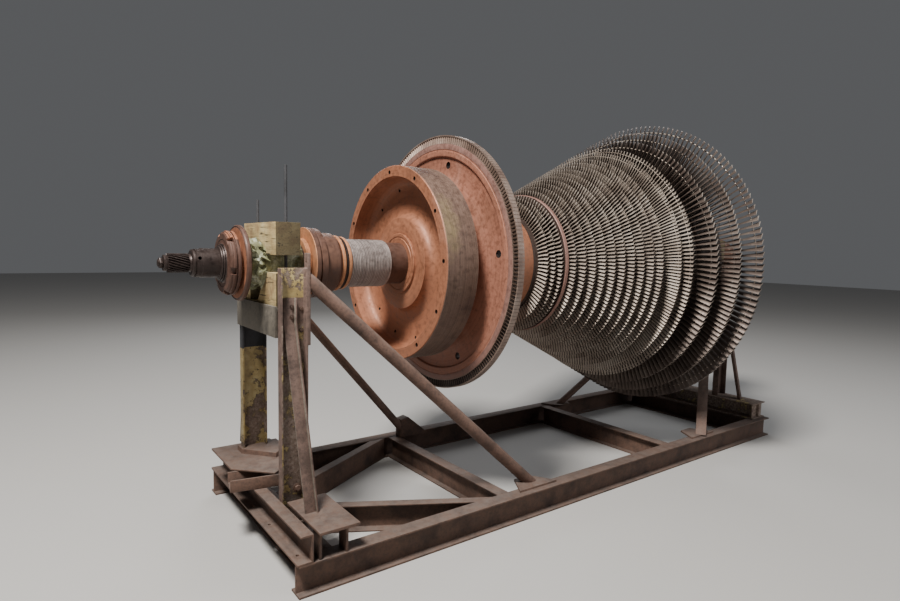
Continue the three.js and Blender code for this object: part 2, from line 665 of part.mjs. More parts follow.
// Stool beside the front near column: a plate on two legs that stand on the long beam
const STOOL = { start: 500, end: 701, near: -715, plate: 15 };
const STOOL_LEG = { near: -700, far: -622, thickness: 12, stations: [506, 636] };
const stoolLegs = STOOL_LEG.stations.map((station) => box(station, station + STOOL_LEG.thickness,
  STOOL_LEG.near, STOOL_LEG.far, BEAM_HEIGHT + FIT, raisedTop - STOOL.plate + 1));
add(stand, 'front_near_stool', join(
  box(STOOL.start, STOOL.end, STOOL.near, -COLUMN_WEB - CHANNEL_FLANGE - FIT,
    raisedTop - STOOL.plate, raisedTop),
  ...stoolLegs,
), frameSteel);

const columnHalf = CHANNEL_DEPTH / 2;
const boardTop = CROSS_BEAM_TOP + FIT + BOARD;

// End view of a saddle, as y and height: the near chock leans far in under the journal, the far
// chock stands steep beside it
const SADDLE_CORNERS = [
  [-SADDLE_HALF_WIDTH, CROSS_BEAM_TOP + FIT], [SADDLE_HALF_WIDTH, CROSS_BEAM_TOP + FIT],
  [SADDLE_HALF_WIDTH, CHOCK_TOP], [100, CHOCK_TOP], [146, 1320], [149, boardTop],
  [33, boardTop], [-93, CHOCK_TOP], [-SADDLE_HALF_WIDTH, CHOCK_TOP],
];

// A box that reaches from one distance to another beside the station x, on the side given
function acrossBox(x, side, from, to, y0, y1, z0, z1) {
  const reach = [x + side * from, x + side * to];
  return box(Math.min(...reach), Math.max(...reach), y0, y1, z0, z1);
}

// One pedestal: columns, raking struts, cross beam, saddle, cap and tie rods.
// bottoms says how high the near and far columns and struts stand
function pedestal(end, x, away, paint, bottoms) {
  for (const [name, side] of [['near', -1], ['far', 1]]) {
    const web = side < 0 ? -COLUMN_WEB : COLUMN_WEB + CHANNEL_FLANGE;
    const { column: columnBottom, raker: rakerBottom, lug: lugSpan } = bottoms[name];
    const column = profile(channelSection(CHANNEL_DEPTH, CHANNEL_FLANGE),
      [x, web, columnBottom], [x, web, COLUMN_TOP], [0, -1, 0]);

    // Flat lug welded to the column's inner end face, which takes the long brace
    const lugs = lugSpan.map(([bottom, top]) => acrossBox(x, away, columnHalf - 2, columnHalf + LUG,
      web - CHANNEL_FLANGE, web, AXIS_HEIGHT + bottom, AXIS_HEIGHT + top));
    add(stand, `${end}_${name}_column`, join(column, ...lugs), paint);

    // Raking strut, bent at its head and bolted to the outer face of the column's web
    const webFace = side * (side < 0 ? COLUMN_WEB + STEEL : COLUMN_WEB + CHANNEL_FLANGE);
    const rakeHead = [x + away * RAKER_SLANT[0], webFace + side * FIT];
    const rakeTo = [x + away * RAKER_SLANT[1], side * RAKER_FOOT, BEAM_HEIGHT - 60];
    const rakerSection = angleSection(RAKER_WIDTH, RAKER_FLANGE, RAKER_WALL, -side * away);
    const slope = profile(rakerSection, rakeTo, [...rakeHead, RAKER_BEND], [0, side, 0]);
    const upright = profile(rakerSection,
      [...rakeHead, RAKER_BEND - 2 * RAKER_WALL], [...rakeHead, RAKER_TOP], [0, side, 0]);
    add(stand, `${end}_${name}_raker`, cut(
      join(slope, upright),
      box(x - 300, x + 300, -900, 900, -300, rakerBottom),
      box(x - 300, x + 300, side < 0 ? webFace - FIT : -900, side < 0 ? 900 : webFace + FIT, 0, 1500),
    ), frameSteel);
  }

  // Cross beam between the columns, with an apron in front of it and the tie rods welded to it
  const beamHeight = CROSS_BEAM_HEIGHT[end];
  const beamZ = CROSS_BEAM_TOP - beamHeight / 2;
  const nearEnd = -COLUMN_WEB + FIT;
  const crossBeam = profile(beamSection(beamHeight, CROSS_BEAM_WIDTH, CROSS_BEAM_WALL),
    [x, nearEnd, beamZ], [x, COLUMN_WEB + CHANNEL_FLANGE - STEEL - FIT, beamZ], [1, 0, 0]);
  const apronBack = columnHalf + FIT;
  const apron = acrossBox(x, -away, apronBack, apronBack + CROSS_BEAM_WALL,
    nearEnd, COLUMN_WEB + CHANNEL_FLANGE, APRON_BOTTOM, APRON_TOP);
  const ribs = [CROSS_BEAM_TOP, APRON_BOTTOM + CROSS_BEAM_WALL].map((top) => acrossBox(x, -away,
    CROSS_BEAM_WALL / 2 - 1, apronBack + 1, nearEnd, -nearEnd, top - CROSS_BEAM_WALL, top));
  const rods = [-ROD_OFFSET, ROD_OFFSET].map((y, index) => bar(
    [x, y, CROSS_BEAM_TOP - CROSS_BEAM_WALL / 2], [x, y, AXIS_HEIGHT + ROD_TOPS[index]], ROD_RADIUS, 12,
  ));
  add(stand, `${end}_cross_beam`, join(crossBeam, apron, ...ribs, ...rods), frameSteel);

  // Saddle of two chocks on a board under the journal, and timber cap over it
  const half = SADDLE_DEPTH / 2;
  const bore = bar([x - 200, 0, AXIS_HEIGHT], [x + 200, 0, AXIS_HEIGHT], WRAP + RUNNING, JOURNAL_SIDES);
  const saddle = profile(outline(SADDLE_CORNERS), [x - half, 0, 0], [x + half, 0, 0], [0, 1, 0]);
  add(stand, `${end}_saddle`, cut(saddle, bore, ...rodHoles(x)), timber);
  add(stand, `${end}_cap`, cut(
    box(x - half, x + half, -SADDLE_HALF_WIDTH, SADDLE_HALF_WIDTH, CAP_BOTTOM, CAP_TOP),
    bore,
    ...rodHoles(x),
  ), timber);
}

function rodHoles(x) {
  return [-ROD_OFFSET, ROD_OFFSET].map(
    (y) => bar([x, y, 1000], [x, y, 2000], ROD_RADIUS + 0.6, 12),
  );
}
const onCross = crossHeight + FIT;
const onRaised = raisedTop + FIT;
const frontLugs = [[-395, 59]];
pedestal('front', FRONT_STAND, 1, yellowPaint, {
  near: { column: onCross, raker: onRaised, lug: frontLugs },
  far: { column: PACKING_TOP + FIT, raker: runnerTop + 2 * FIT + PACKING_PLATE, lug: frontLugs },
});
pedestal('rear', REAR_STAND, -1, frameSteel, {
  near: { column: onRaised, raker: onRaised, lug: [] },
  far: { column: onRaised, raker: onRaised, lug: [[-560, -420]] },
});

// Long braces from the pedestals down to the base
function trimBrace(blank, x0, x1, foot) {
  return cut(
    blank,
    box(x0 - 600, x0, -1500, 1500, 0, 2000),
    box(x1, x1 + 600, -1500, 1500, 0, 2000),
    box(x0 - 700, x1 + 700, -1500, 1500, -500, foot),
  );
}
function lengthened(top, foot) {
  const from = new THREE.Vector3(...top);
  const to = new THREE.Vector3(...foot);
  const extra = to.clone().sub(from).normalize().multiplyScalar(160);
  return [from.sub(extra).toArray(), to.add(extra).toArray()];
}
const frontLug = FRONT_STAND + CHANNEL_DEPTH / 2 + LUG + FIT;
const rearLug = REAR_STAND - CHANNEL_DEPTH / 2 - LUG - FIT;
const columnMiddle = COLUMN_WEB + CHANNEL_FLANGE / 2;
const braceHead = AXIS_HEIGHT - 75;
const rearBraceHead = AXIS_HEIGHT - 490;
const footY = innerFace - 40;
const WEDGE_FRONT = 1702;
const WEDGE_LENGTH = 240;
const WEDGE_HEIGHT = 146;
const WEDGE_WIDTH = 76;
const WEDGE_CREST = 62; // length of its top face
const PIPE_END = 232; // height at which the front far brace meets the wedge
const footTop = plateTop + FIT;

add(stand, 'front_near_brace', trimBrace(
  bar(...lengthened([frontLug, -columnMiddle, braceHead], [FRONT_FOOT, -footY, plateTop]), PIPE_RADIUS, 20),
  frontLug, FRONT_FOOT + 500, footTop,
), pipeSteel);
add(stand, 'front_far_brace', trimBrace(
  bar(...lengthened([frontLug, columnMiddle, braceHead], [WEDGE_FRONT, footY, PIPE_END]),
    FAR_PIPE_RADIUS, 16),
  frontLug, WEDGE_FRONT - FIT, BEAM_HEIGHT + FIT,
), pipeSteel);
add(stand, 'rear_far_brace', trimBrace(
  bar(...lengthened([rearLug, columnMiddle, rearBraceHead], [REAR_FOOT, footY, plateTop]),
    FAR_PIPE_RADIUS, 16),
  REAR_FOOT - 500, rearLug, footTop,
), pipeSteel);

// The rear near brace is a flat box bar that meets the cross beam
const BOX_BAR = { width: 74, height: 50 };
const BOX_HEAD = { y: -170, z: 1082 };
const BOX_FOOT = { y: -648, z: plateTop };
const BOX_SIDE = [0.507, -0.862, 0]; // level, and square to the bar as seen from above
const crossBeamFace = REAR_STAND - CROSS_BEAM_WIDTH / 2 - FIT;
const boxBar = outline([
  [-BOX_BAR.width / 2, -BOX_BAR.height / 2], [BOX_BAR.width / 2, -BOX_BAR.height / 2],
  [BOX_BAR.width / 2, BOX_BAR.height / 2], [-BOX_BAR.width / 2, BOX_BAR.height / 2],
]);
const [boxFrom, boxTo] = lengthened(
  [crossBeamFace, BOX_HEAD.y, BOX_HEAD.z], [REAR_NEAR_FOOT, BOX_FOOT.y, BOX_FOOT.z],
);
add(stand, 'rear_near_brace', trimBrace(
  profile(boxBar, boxFrom, boxTo, BOX_SIDE), REAR_NEAR_FOOT - 500, crossBeamFace, footTop,
), pipeSteel);

// Wedge-shaped bracket on the far long beam, against which the front far brace ends
const wedge = new THREE.ExtrudeGeometry(outline([
  [0, 0], [WEDGE_LENGTH, 0], [WEDGE_CREST, WEDGE_HEIGHT], [0, WEDGE_HEIGHT - 12],
]), { depth: WEDGE_WIDTH, bevelEnabled: false });
wedge.rotateX(Math.PI / 2);
wedge.translate(WEDGE_FRONT, innerFace + 10, BEAM_HEIGHT + FIT);
add(stand, 'front_far_bracket', wedge, frameSteel);

const model = new THREE.Group();
model.add(rotor, stand);

export default model;
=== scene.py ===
# %% [markdown]
# # A steam turbine rotor in its storage stand
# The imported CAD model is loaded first. It fixes where every piece is, how big it is, and what
# turns with what. Everything that follows only dresses it: finer turned shapes, real blades,
# worn edges and rusty finishes.

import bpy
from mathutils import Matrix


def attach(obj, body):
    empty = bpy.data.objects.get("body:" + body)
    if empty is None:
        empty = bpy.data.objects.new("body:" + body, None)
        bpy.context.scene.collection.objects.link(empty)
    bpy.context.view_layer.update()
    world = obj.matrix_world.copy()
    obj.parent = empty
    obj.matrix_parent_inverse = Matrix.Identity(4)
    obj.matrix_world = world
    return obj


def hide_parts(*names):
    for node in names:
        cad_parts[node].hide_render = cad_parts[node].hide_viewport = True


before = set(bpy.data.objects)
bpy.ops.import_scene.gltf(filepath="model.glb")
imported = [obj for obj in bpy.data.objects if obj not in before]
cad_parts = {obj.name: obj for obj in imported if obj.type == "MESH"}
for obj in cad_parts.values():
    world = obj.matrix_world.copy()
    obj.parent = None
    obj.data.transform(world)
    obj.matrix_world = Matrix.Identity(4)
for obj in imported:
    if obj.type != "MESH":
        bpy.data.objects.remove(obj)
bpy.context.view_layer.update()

# %% [markdown]
# The rotor lies along X. Turners measure it by stations, in millimetres from the tip of its front
# end, and by radii from its axis. Two small functions turn those shop sizes into scene metres.

# %% Sizes that everything shares
import math
import random

import bmesh
import bpy
from mathutils import Matrix, Vector

AXIS = 1.45      # height of the rotor's axis, in metres
LENGTH = 4.856   # from the end nut to the face of the rear coupling
random.seed(7)


def at(station):
    return station / 1000 - LENGTH / 2


def spot(station, radius, angle=90.0):
    """A point on the rotor. Angle 0 points to the near side, 90 straight up."""
    turn = math.radians(angle)
    reach = radius / 1000
    return Vector((at(station), -reach * math.cos(turn), AXIS + reach * math.sin(turn)))


print("the rotor runs from x =", at(0), "to x =", at(1000 * LENGTH))

# %% [markdown]
# The camera stands where the photographer stood: in front of the splined end, to the near side,
# at eye height. Its three directions are worked out from its heading, its tilt and a slight roll.
# The lens is a wide one, so the near end looms and the far end shrinks.

# %% Camera
HEADING, TILT, ROLL = (math.radians(angle) for angle in (36.56, 5.117, 1.170))
EYE = Vector((-2.972, -3.050, 1.5493))   # in metres
FOCAL_LENGTH, FILM_WIDTH = 23.59, 36     # in millimetres
ahead = Vector((math.sin(HEADING) * math.cos(TILT), math.cos(HEADING) * math.cos(TILT),
                -math.sin(TILT)))
level = Vector((math.cos(HEADING), -math.sin(HEADING), 0))
right = Matrix.Rotation(-ROLL, 3, ahead) @ level
above = right.cross(ahead)
lens = bpy.data.cameras.new("camera")
lens.lens = FOCAL_LENGTH
lens.sensor_width = FILM_WIDTH
lens.clip_end = 100
camera = bpy.data.objects.new("camera", lens)
bpy.context.collection.objects.link(camera)
turned = Matrix((right, above, -ahead)).transposed().to_4x4()
camera.matrix_world = Matrix.Translation(EYE) @ turned
bpy.context.scene.camera = camera
print("camera looks along", tuple(round(c, 3) for c in ahead))

# %% [markdown]
# A pale floor and three big soft lamps make the studio. The main lamp hangs high on the left, so
# that the drum's faces are lit and the undersides fall into shade, as in a dim machine hall.

# %% Floor and lights
FLOOR_COLOUR = (0.40, 0.39, 0.375, 1)
SKY_COLOUR, SKY_STRENGTH = (0.86, 0.88, 0.92, 1), 0.12
bpy.ops.mesh.primitive_plane_add(size=60, location=(0, 0, -0.001))
floor = bpy.context.object
floor.name = "studio_floor"
floor_finish = bpy.data.materials.new("studio floor")
floor_finish.use_nodes = True
floor_shader = floor_finish.node_tree.nodes["Principled BSDF"]
floor_shader.inputs["Base Color"].default_value = FLOOR_COLOUR
floor_shader.inputs["Roughness"].default_value = 0.9
floor.data.materials.append(floor_finish)

sky = bpy.data.worlds.new("studio")
bpy.context.scene.world = sky
sky.use_nodes = True
sky.node_tree.nodes["Background"].inputs["Color"].default_value = SKY_COLOUR
sky.node_tree.nodes["Background"].inputs["Strength"].default_value = SKY_STRENGTH


def lamp(name, place, towards, size, power, colour):
    """A square soft lamp of this size in metres and this power in watts."""
    light = bpy.data.lights.new(name, "AREA")
    light.size = size
    light.energy = power
    light.color = colour
    thing = bpy.data.objects.new(name, light)
    bpy.context.collection.objects.link(thing)
    thing.location = place
    thing.rotation_euler = (Vector(towards) - Vector(place)).to_track_quat("-Z", "Y").to_euler()


lamp("main lamp", (-4.8, -2.2, 7.9), (-0.6, 0, 1.2), 1.8, 1620, (1.0, 0.97, 0.93))
lamp("side lamp", (4.5, -6.0, 4.6), (0.8, 0, 1.4), 4.0, 170, (0.93, 0.96, 1.0))
lamp("back lamp", (3.0, 6.5, 5.5), (0.5, 0, 1.4), 4.0, 240, (0.95, 0.97, 1.0))
print("studio has", len(bpy.data.lights), "lamps")

# %% [markdown]
# Modelling tools come next. An operator acts on whatever is selected, so each step first clears the
# selection. A piece is finished when its place is baked into its mesh and its object sits at the
# origin, like the CAD nodes do.

# %% Selection and finishing helpers
def clear():
    if bpy.context.mode != "OBJECT":
        bpy.ops.object.mode_set(mode="OBJECT")
    bpy.ops.object.select_all(action="DESELECT")


def choose(*things):
    clear()
    for thing in things:
        thing.select_set(True)
    bpy.context.view_layer.objects.active = things[0]


def settle(piece, name):
    """Bakes the place of a piece into its mesh and names it."""
    choose(piece)
    bpy.ops.object.transform_apply(location=True, rotation=True, scale=True)
    piece.name = name
    piece.data.name = name
    return piece


def edit(piece):
    """Opens a piece in edit mode with all its corners selected."""
    choose(piece)
    bpy.ops.object.mode_set(mode="EDIT")
    bpy.ops.mesh.select_mode(type="VERT")
    bpy.ops.mesh.select_all(action="SELECT")


def tidy_shell(piece, gap=1e-5):
    """Welds doubled corners and turns every face outwards."""
    edit(piece)
    bpy.ops.mesh.remove_doubles(threshold=gap)
    bpy.ops.mesh.normals_make_consistent(inside=False)
    clear()


def apply(piece, kind, **settings):
    """Adds one modifier with these settings and applies it."""
    choose(piece)
    step = piece.modifiers.new(kind.lower(), kind)
    for key, value in settings.items():
        setattr(step, key, value)
    bpy.ops.object.modifier_apply(modifier=step.name)


def smooth(piece, degrees):
    choose(piece)
    bpy.ops.object.shade_smooth_by_angle(angle=math.radians(degrees))
    clear()


clear()
print("helpers ready; mode is", bpy.context.mode)

# %% [markdown]
# Most of a rotor comes off a lathe. Blender's spin tool does the same thing: an outline is drawn
# point by point by extruding a single vertex, and then the whole outline is spun round the axis.
# The seam of the full turn is welded and the faces are turned outwards.

# %% The lathe
def lathe(name, outline, steps, closed=False):
    """outline holds (station, radius) points. A closed outline makes a ring."""
    points = [Vector((at(s), 0, AXIS + r / 1000)) for s, r in outline]
    clear()
    bpy.ops.mesh.primitive_plane_add(size=0.001, location=points[0])
    piece = bpy.context.object
    bpy.ops.object.mode_set(mode="EDIT")
    bpy.ops.mesh.select_mode(type="VERT")
    bpy.ops.mesh.select_all(action="SELECT")
    bpy.ops.mesh.merge(type="CENTER")
    for start, end in zip(points, points[1:]):
        bpy.ops.mesh.extrude_region_move(TRANSFORM_OT_translate={"value": end - start})
    if closed:
        bpy.ops.mesh.extrude_region_move(TRANSFORM_OT_translate={"value": points[0] - points[-1]})
    bpy.ops.mesh.select_all(action="SELECT")
    bpy.ops.mesh.spin(steps=steps, angle=2 * math.pi, center=(0, 0, AXIS), axis=(1, 0, 0))
    settle(piece, name)
    tidy_shell(piece)
    return piece


def grooves(start, end, count, top, bottom):
    """Outline points of equal square grooves cut between two stations."""
    land, slope = 0.6, 0.3   # share of the pitch left standing, and how far each side leans
    pitch = (end - start) / count
    points = []
    for index in range(count):
        first = start + index * pitch
        edge = first + land * pitch
        points += [(first, top), (edge, top), (edge + slope, bottom),
                   (first + pitch - slope, bottom)]
    return points


print("one groove has the points", grooves(0, 10, 1, 5, 4))

# %% [markdown]
# Holes and slots are cut with a Boolean modifier. The cutters are joined into one object first, so
# that a whole ring of holes takes a single cut.

# %% Drills and cutters
def drill(place, end, radius, sides=20):
    """A round cutter from one point to another."""
    along = end - place
    clear()
    bpy.ops.mesh.primitive_cylinder_add(
        vertices=sides, radius=radius, depth=along.length, location=(place + end) / 2,
        rotation=along.to_track_quat("Z", "Y").to_euler())
    return bpy.context.object


def block(low, high):
    """A box between two corners."""
    low, high = Vector(low), Vector(high)
    clear()
    bpy.ops.mesh.primitive_cube_add(size=1, location=(low + high) / 2, scale=high - low)
    return bpy.context.object


def cut(piece, cutters):
    choose(*cutters)
    if len(cutters) > 1:
        bpy.ops.object.join()
    cutter = settle(bpy.context.object, "cutter")
    apply(piece, "BOOLEAN", operation="DIFFERENCE", object=cutter, solver="EXACT")
    bpy.data.objects.remove(cutter)


def unite(name, pieces):
    """Joins finished shells into one object."""
    choose(*pieces)
    if len(pieces) > 1:
        bpy.ops.object.join()
    return settle(bpy.context.object, name)


print("cutting tools ready")

# %% [markdown]
# Finishes are built from shader nodes. Old steel is never one colour: broad clouds of rust lie over
# it, finer specks break them up, and the tool marks of the lathe still show. Every pattern reads
# Object coordinates, so it stays fixed to the piece when the rotor turns.

# %% Shader helpers
def new_finish(name, metallic=0.0):
    made = bpy.data.materials.new(name)
    made.use_nodes = True
    tree = made.node_tree
    shader = tree.nodes["Principled BSDF"]
    shader.inputs["Metallic"].default_value = metallic
    where = tree.nodes.new("ShaderNodeTexCoord").outputs["Object"]
    return made, tree, shader, where


def moved(tree, where, location=(0, 0, 0), scale=(1, 1, 1)):
    step = tree.nodes.new("ShaderNodeMapping")
    step.inputs["Location"].default_value = location
    step.inputs["Scale"].default_value = scale
    tree.links.new(where, step.inputs["Vector"])
    return step.outputs["Vector"]


def clouds(tree, where, scale, detail, rough):
    step = tree.nodes.new("ShaderNodeTexNoise")
    step.inputs["Scale"].default_value = scale
    step.inputs["Detail"].default_value = detail
    step.inputs["Roughness"].default_value = rough
    tree.links.new(where, step.inputs["Vector"])
    return step.outputs["Fac"]


def ramp(tree, factor, stops):
    """stops holds (position, colour or grey value) pairs."""
    step = tree.nodes.new("ShaderNodeValToRGB")
    band = step.color_ramp
    while len(band.elements) < len(stops):
        band.elements.new(0.5)
    for element, (position, colour) in zip(band.elements, stops):
        element.position = position
        grey = not isinstance(colour, tuple)
        element.color = (colour, colour, colour, 1) if grey else (*colour, 1)
    tree.links.new(factor, step.inputs["Fac"])
    return step.outputs["Color"]


def blend_colours(tree, factor, first, second, mode="MIX"):
    step = tree.nodes.new("ShaderNodeMix")
    step.data_type = "RGBA"
    step.blend_type = mode
    for socket, value in ((step.inputs["Factor"], factor), (step.inputs["A"], first),
                          (step.inputs["B"], second)):
        if isinstance(value, (float, int)):
            socket.default_value = value
        elif isinstance(value, tuple):
            socket.default_value = (*value, 1)
        else:
            tree.links.new(value, socket)
    return step.outputs["Result"]


def calculate(tree, kind, first, second=0.0):
    step = tree.nodes.new("ShaderNodeMath")
    step.operation = kind
    for socket, value in zip(step.inputs, (first, second)):
        if isinstance(value, (float, int)):
            socket.default_value = value
        else:
            tree.links.new(value, socket)
    return step.outputs[0]


def raise_grain(tree, shader, height, strength, depth):
    step = tree.nodes.new("ShaderNodeBump")
    step.inputs["Strength"].default_value = strength
    step.inputs["Distance"].default_value = depth
    tree.links.new(height, step.inputs["Height"])
    tree.links.new(step.outputs["Normal"], shader.inputs["Normal"])


def lathe_coordinates(tree, where):
    """(station, radius, 0) of a point, so that a stretched pattern runs in rings."""
    parts = tree.nodes.new("ShaderNodeSeparateXYZ")
    tree.links.new(moved(tree, where, location=(0, 0, -AXIS)), parts.inputs[0])
    flat = tree.nodes.new("ShaderNodeCombineXYZ")
    tree.links.new(parts.outputs["Y"], flat.inputs["Y"])
    tree.links.new(parts.outputs["Z"], flat.inputs["Z"])
    length = tree.nodes.new("ShaderNodeVectorMath")
    length.operation = "LENGTH"
    tree.links.new(flat.outputs[0], length.inputs[0])
    rings = tree.nodes.new("ShaderNodeCombineXYZ")
    tree.links.new(parts.outputs["X"], rings.inputs["X"])
    tree.links.new(length.outputs["Value"], rings.inputs["Y"])
    return rings.outputs[0]


print("shader helpers ready")

# %% [markdown]
# The discs and shafts are bare steel that has rusted evenly in a dry hall. The base is a warm
# orange brown. It turns pinkish where dust has settled and almost black where oil kept the rust
# away. Thin rings follow the tool marks.

# %% Rusty turned steel
def turned_finish(name, dark, body, light, rings=0.25, grain=0.25, metallic=0.25,
                  rough=(0.42, 0.72), marks_scale=90):
    """rings says how strongly the tool marks show, grain how rough the surface feels."""
    made, tree, shader, where = new_finish(name, metallic)
    broad = clouds(tree, where, 2.6, 8, 0.62)
    fine = clouds(tree, where, 38, 6, 0.65)
    marks = clouds(tree, lathe_coordinates(tree, where), marks_scale, 3, 0.5)
    patches = ramp(tree, broad, [(0.26, dark), (0.43, body), (0.58, body), (0.76, light)])
    specks = ramp(tree, fine, [(0.35, 0.62), (0.50, 1.0), (0.72, 1.14)])
    speckled = blend_colours(tree, 0.75, patches, specks, "MULTIPLY")
    lines = ramp(tree, marks, [(0.36, 0.62), (0.5, 1.0), (0.64, 1.18)])
    coloured = blend_colours(tree, rings, speckled, lines, "MULTIPLY")
    tree.links.new(coloured, shader.inputs["Base Color"])
    gloss = ramp(tree, fine, [(0.35, rough[0]), (0.65, rough[1])])
    tree.links.new(gloss, shader.inputs["Roughness"])
    height = calculate(tree, "ADD", calculate(tree, "MULTIPLY", fine, 0.6),
                       calculate(tree, "MULTIPLY", marks, 0.5))
    raise_grain(tree, shader, height, grain, 0.004)
    return made


rust = turned_finish(
    "rusty discs", (0.18, 0.072, 0.038), (0.295, 0.118, 0.062), (0.375, 0.180, 0.120))
wheel_rust = turned_finish(
    "rusty wheel", (0.23, 0.098, 0.060), (0.305, 0.128, 0.082), (0.375, 0.195, 0.145))
bright_rust = turned_finish(
    "fresh orange rust", (0.24, 0.10, 0.048), (0.42, 0.185, 0.088), (0.50, 0.28, 0.18))
# The old brown rust and the dark oily steel below are darker than their own colour: painted shade
# for the dimmer light on the front end of the rotor.
brown_rust_and_shade = turned_finish(
    "old brown rust darkened as painted shade", (0.042, 0.024, 0.018), (0.092, 0.045, 0.031), (0.18, 0.088, 0.054))
pale_rust = turned_finish(
    "dusty pink steel", (0.14, 0.075, 0.060), (0.235, 0.125, 0.100), (0.33, 0.20, 0.17))
shaft_steel = turned_finish(
    "dark oily steel darkened as painted shade", (0.018, 0.013, 0.011), (0.042, 0.028, 0.024), (0.095, 0.064, 0.052),
    metallic=0.5, rough=(0.35, 0.6))
grooved_steel = turned_finish(
    "grooved drum face", (0.085, 0.050, 0.045), (0.200, 0.130, 0.100), (0.30, 0.23, 0.12),
    rings=0.9, grain=0.6, metallic=0.35, marks_scale=300)
sleeve_steel = turned_finish(
    "grooved sleeve", (0.16, 0.13, 0.12), (0.36, 0.31, 0.29), (0.50, 0.465, 0.44),
    rings=0.8, metallic=0.45)
# Almost black: painted shade for the drum under the blades.
drum_in_painted_shade = turned_finish(
    "drum under the blades in painted shade", (0.018, 0.012, 0.010), (0.050, 0.032, 0.025), (0.095, 0.064, 0.050),
    metallic=0.3)
print("turned finishes:", len(bpy.data.materials))

# %% [markdown]
# Blades are stainless, so they keep a dull grey beige under a film of brown dirt. The edges keep
# that colour, and the flanks get a dark finish of their own as painted shade, the shade that lies
# between the blades.

# %% Blade steel
def blade_finish(name, dark, body, light, metallic=0.5):
    made, tree, shader, where = new_finish(name, metallic)
    broad = clouds(tree, where, 5, 6, 0.6)
    fine = clouds(tree, where, 120, 4, 0.6)
    base = ramp(tree, broad, [(0.32, dark), (0.52, body), (0.72, light)])
    specks = ramp(tree, fine, [(0.3, 0.7), (0.55, 1.0), (0.75, 1.1)])
    coloured = blend_colours(tree, 0.6, base, specks, "MULTIPLY")
    tree.links.new(coloured, shader.inputs["Base Color"])
    tree.links.new(ramp(tree, fine, [(0.3, 0.38), (0.7, 0.62)]), shader.inputs["Roughness"])
    raise_grain(tree, shader, fine, 0.12, 0.002)
    return made


blade_steel = blade_finish(
    "blade edges", (0.27, 0.215, 0.175), (0.43, 0.365, 0.305), (0.56, 0.50, 0.43))
# The two flank finishes below are painted shade: the dark that lies between the blades.
shaded_blade = blade_finish(
    "blade flanks in painted shade", (0.030, 0.021, 0.017), (0.070, 0.052, 0.043), (0.135, 0.108, 0.090), 0.3)
long_blade_shade = blade_finish(
    "long blade flanks in painted shade", (0.060, 0.042, 0.034), (0.120, 0.090, 0.074), (0.21, 0.17, 0.145))
shroud_steel = blade_finish(
    "shroud tiles", (0.15, 0.100, 0.080), (0.26, 0.190, 0.155), (0.38, 0.31, 0.265))
# The control blades' finish is brightened as a painted highlight on their lit front faces.
wheel_blade_and_highlight = blade_finish(
    "control blades with painted highlight", (0.17, 0.108, 0.082), (0.30, 0.21, 0.165), (0.42, 0.32, 0.265), 0.3)
print("blade finishes done")

# %% [markdown]
# The front columns were painted yellow long ago. The paint flakes off in small islands and shows
# brown rust below, with a dark rim where each flake ends. Most of the stand never had paint: it is
# rolled steel with brown scale, and dust lies on every face that looks up. Its brown is darkened
# as painted shade, for the dim light low down at the foot of the stand.

# %% Finishes of the stand
def flaking_paint(name, bare):
    """bare is the share of the noise below which the paint is gone."""
    made, tree, shader, where = new_finish(name, 0.0)
    broad = clouds(tree, where, 5.5, 9, 0.68)
    edge = clouds(tree, where, 30, 8, 0.7)
    shape = calculate(tree, "ADD", calculate(tree, "MULTIPLY", broad, 0.62),
                      calculate(tree, "MULTIPLY", edge, 0.38))
    below = ramp(tree, clouds(tree, where, 60, 6, 0.6), [
        (0.3, (0.07, 0.045, 0.036)), (0.5, (0.19, 0.135, 0.105)), (0.7, (0.30, 0.25, 0.21))])
    paint = ramp(tree, clouds(tree, where, 14, 6, 0.6), [
        (0.3, (0.15, 0.100, 0.042)), (0.5, (0.325, 0.240, 0.095)), (0.7, (0.43, 0.345, 0.17))])
    cover = ramp(tree, shape, [(bare - 0.01, 0.0), (bare + 0.01, 1.0)])
    rim = ramp(tree, shape, [(bare - 0.03, 1.0), (bare - 0.005, 0.45), (bare + 0.02, 1.0)])
    coloured = blend_colours(tree, 1.0, blend_colours(tree, cover, below, paint), rim, "MULTIPLY")
    tree.links.new(coloured, shader.inputs["Base Color"])
    gloss = ramp(tree, shape, [(bare - 0.02, 0.85), (bare + 0.02, 0.5)])
    tree.links.new(gloss, shader.inputs["Roughness"])
    film = ramp(tree, shape, [(bare - 0.03, 0.0), (bare + 0.02, 1.0)])
    raise_grain(tree, shader, film, 0.5, 0.002)
    return made


def scaled_steel(name, dark, body, dust):
    """dust is the colour of what lies on the faces that look up."""
    made, tree, shader, where = new_finish(name, 0.15)
    broad = clouds(tree, where, 7, 8, 0.65)
    fine = clouds(tree, where, 70, 8, 0.7)
    light = tuple(1.25 * part for part in body)
    base = ramp(tree, broad, [(0.32, dark), (0.52, body), (0.75, light)])
    specks = ramp(tree, fine, [(0.35, 0.5), (0.52, 1.0), (0.7, 1.25)])
    speckled = blend_colours(tree, 0.8, base, specks, "MULTIPLY")
    facing = tree.nodes.new("ShaderNodeSeparateXYZ")
    tree.links.new(tree.nodes["Texture Coordinate"].outputs["Normal"], facing.inputs[0])
    up = ramp(tree, facing.outputs["Z"], [(0.25, 0.0), (0.95, 0.6)])
    patches = ramp(tree, clouds(tree, where, 24, 8, 0.7), [(0.34, 0.25), (0.62, 1.0)])
    lying = calculate(tree, "MULTIPLY", up, patches)
    tree.links.new(blend_colours(tree, lying, speckled, dust), shader.inputs["Base Color"])
    tree.links.new(ramp(tree, fine, [(0.3, 0.6), (0.7, 0.92)]), shader.inputs["Roughness"])
    raise_grain(tree, shader, fine, 0.45, 0.003)
    return made


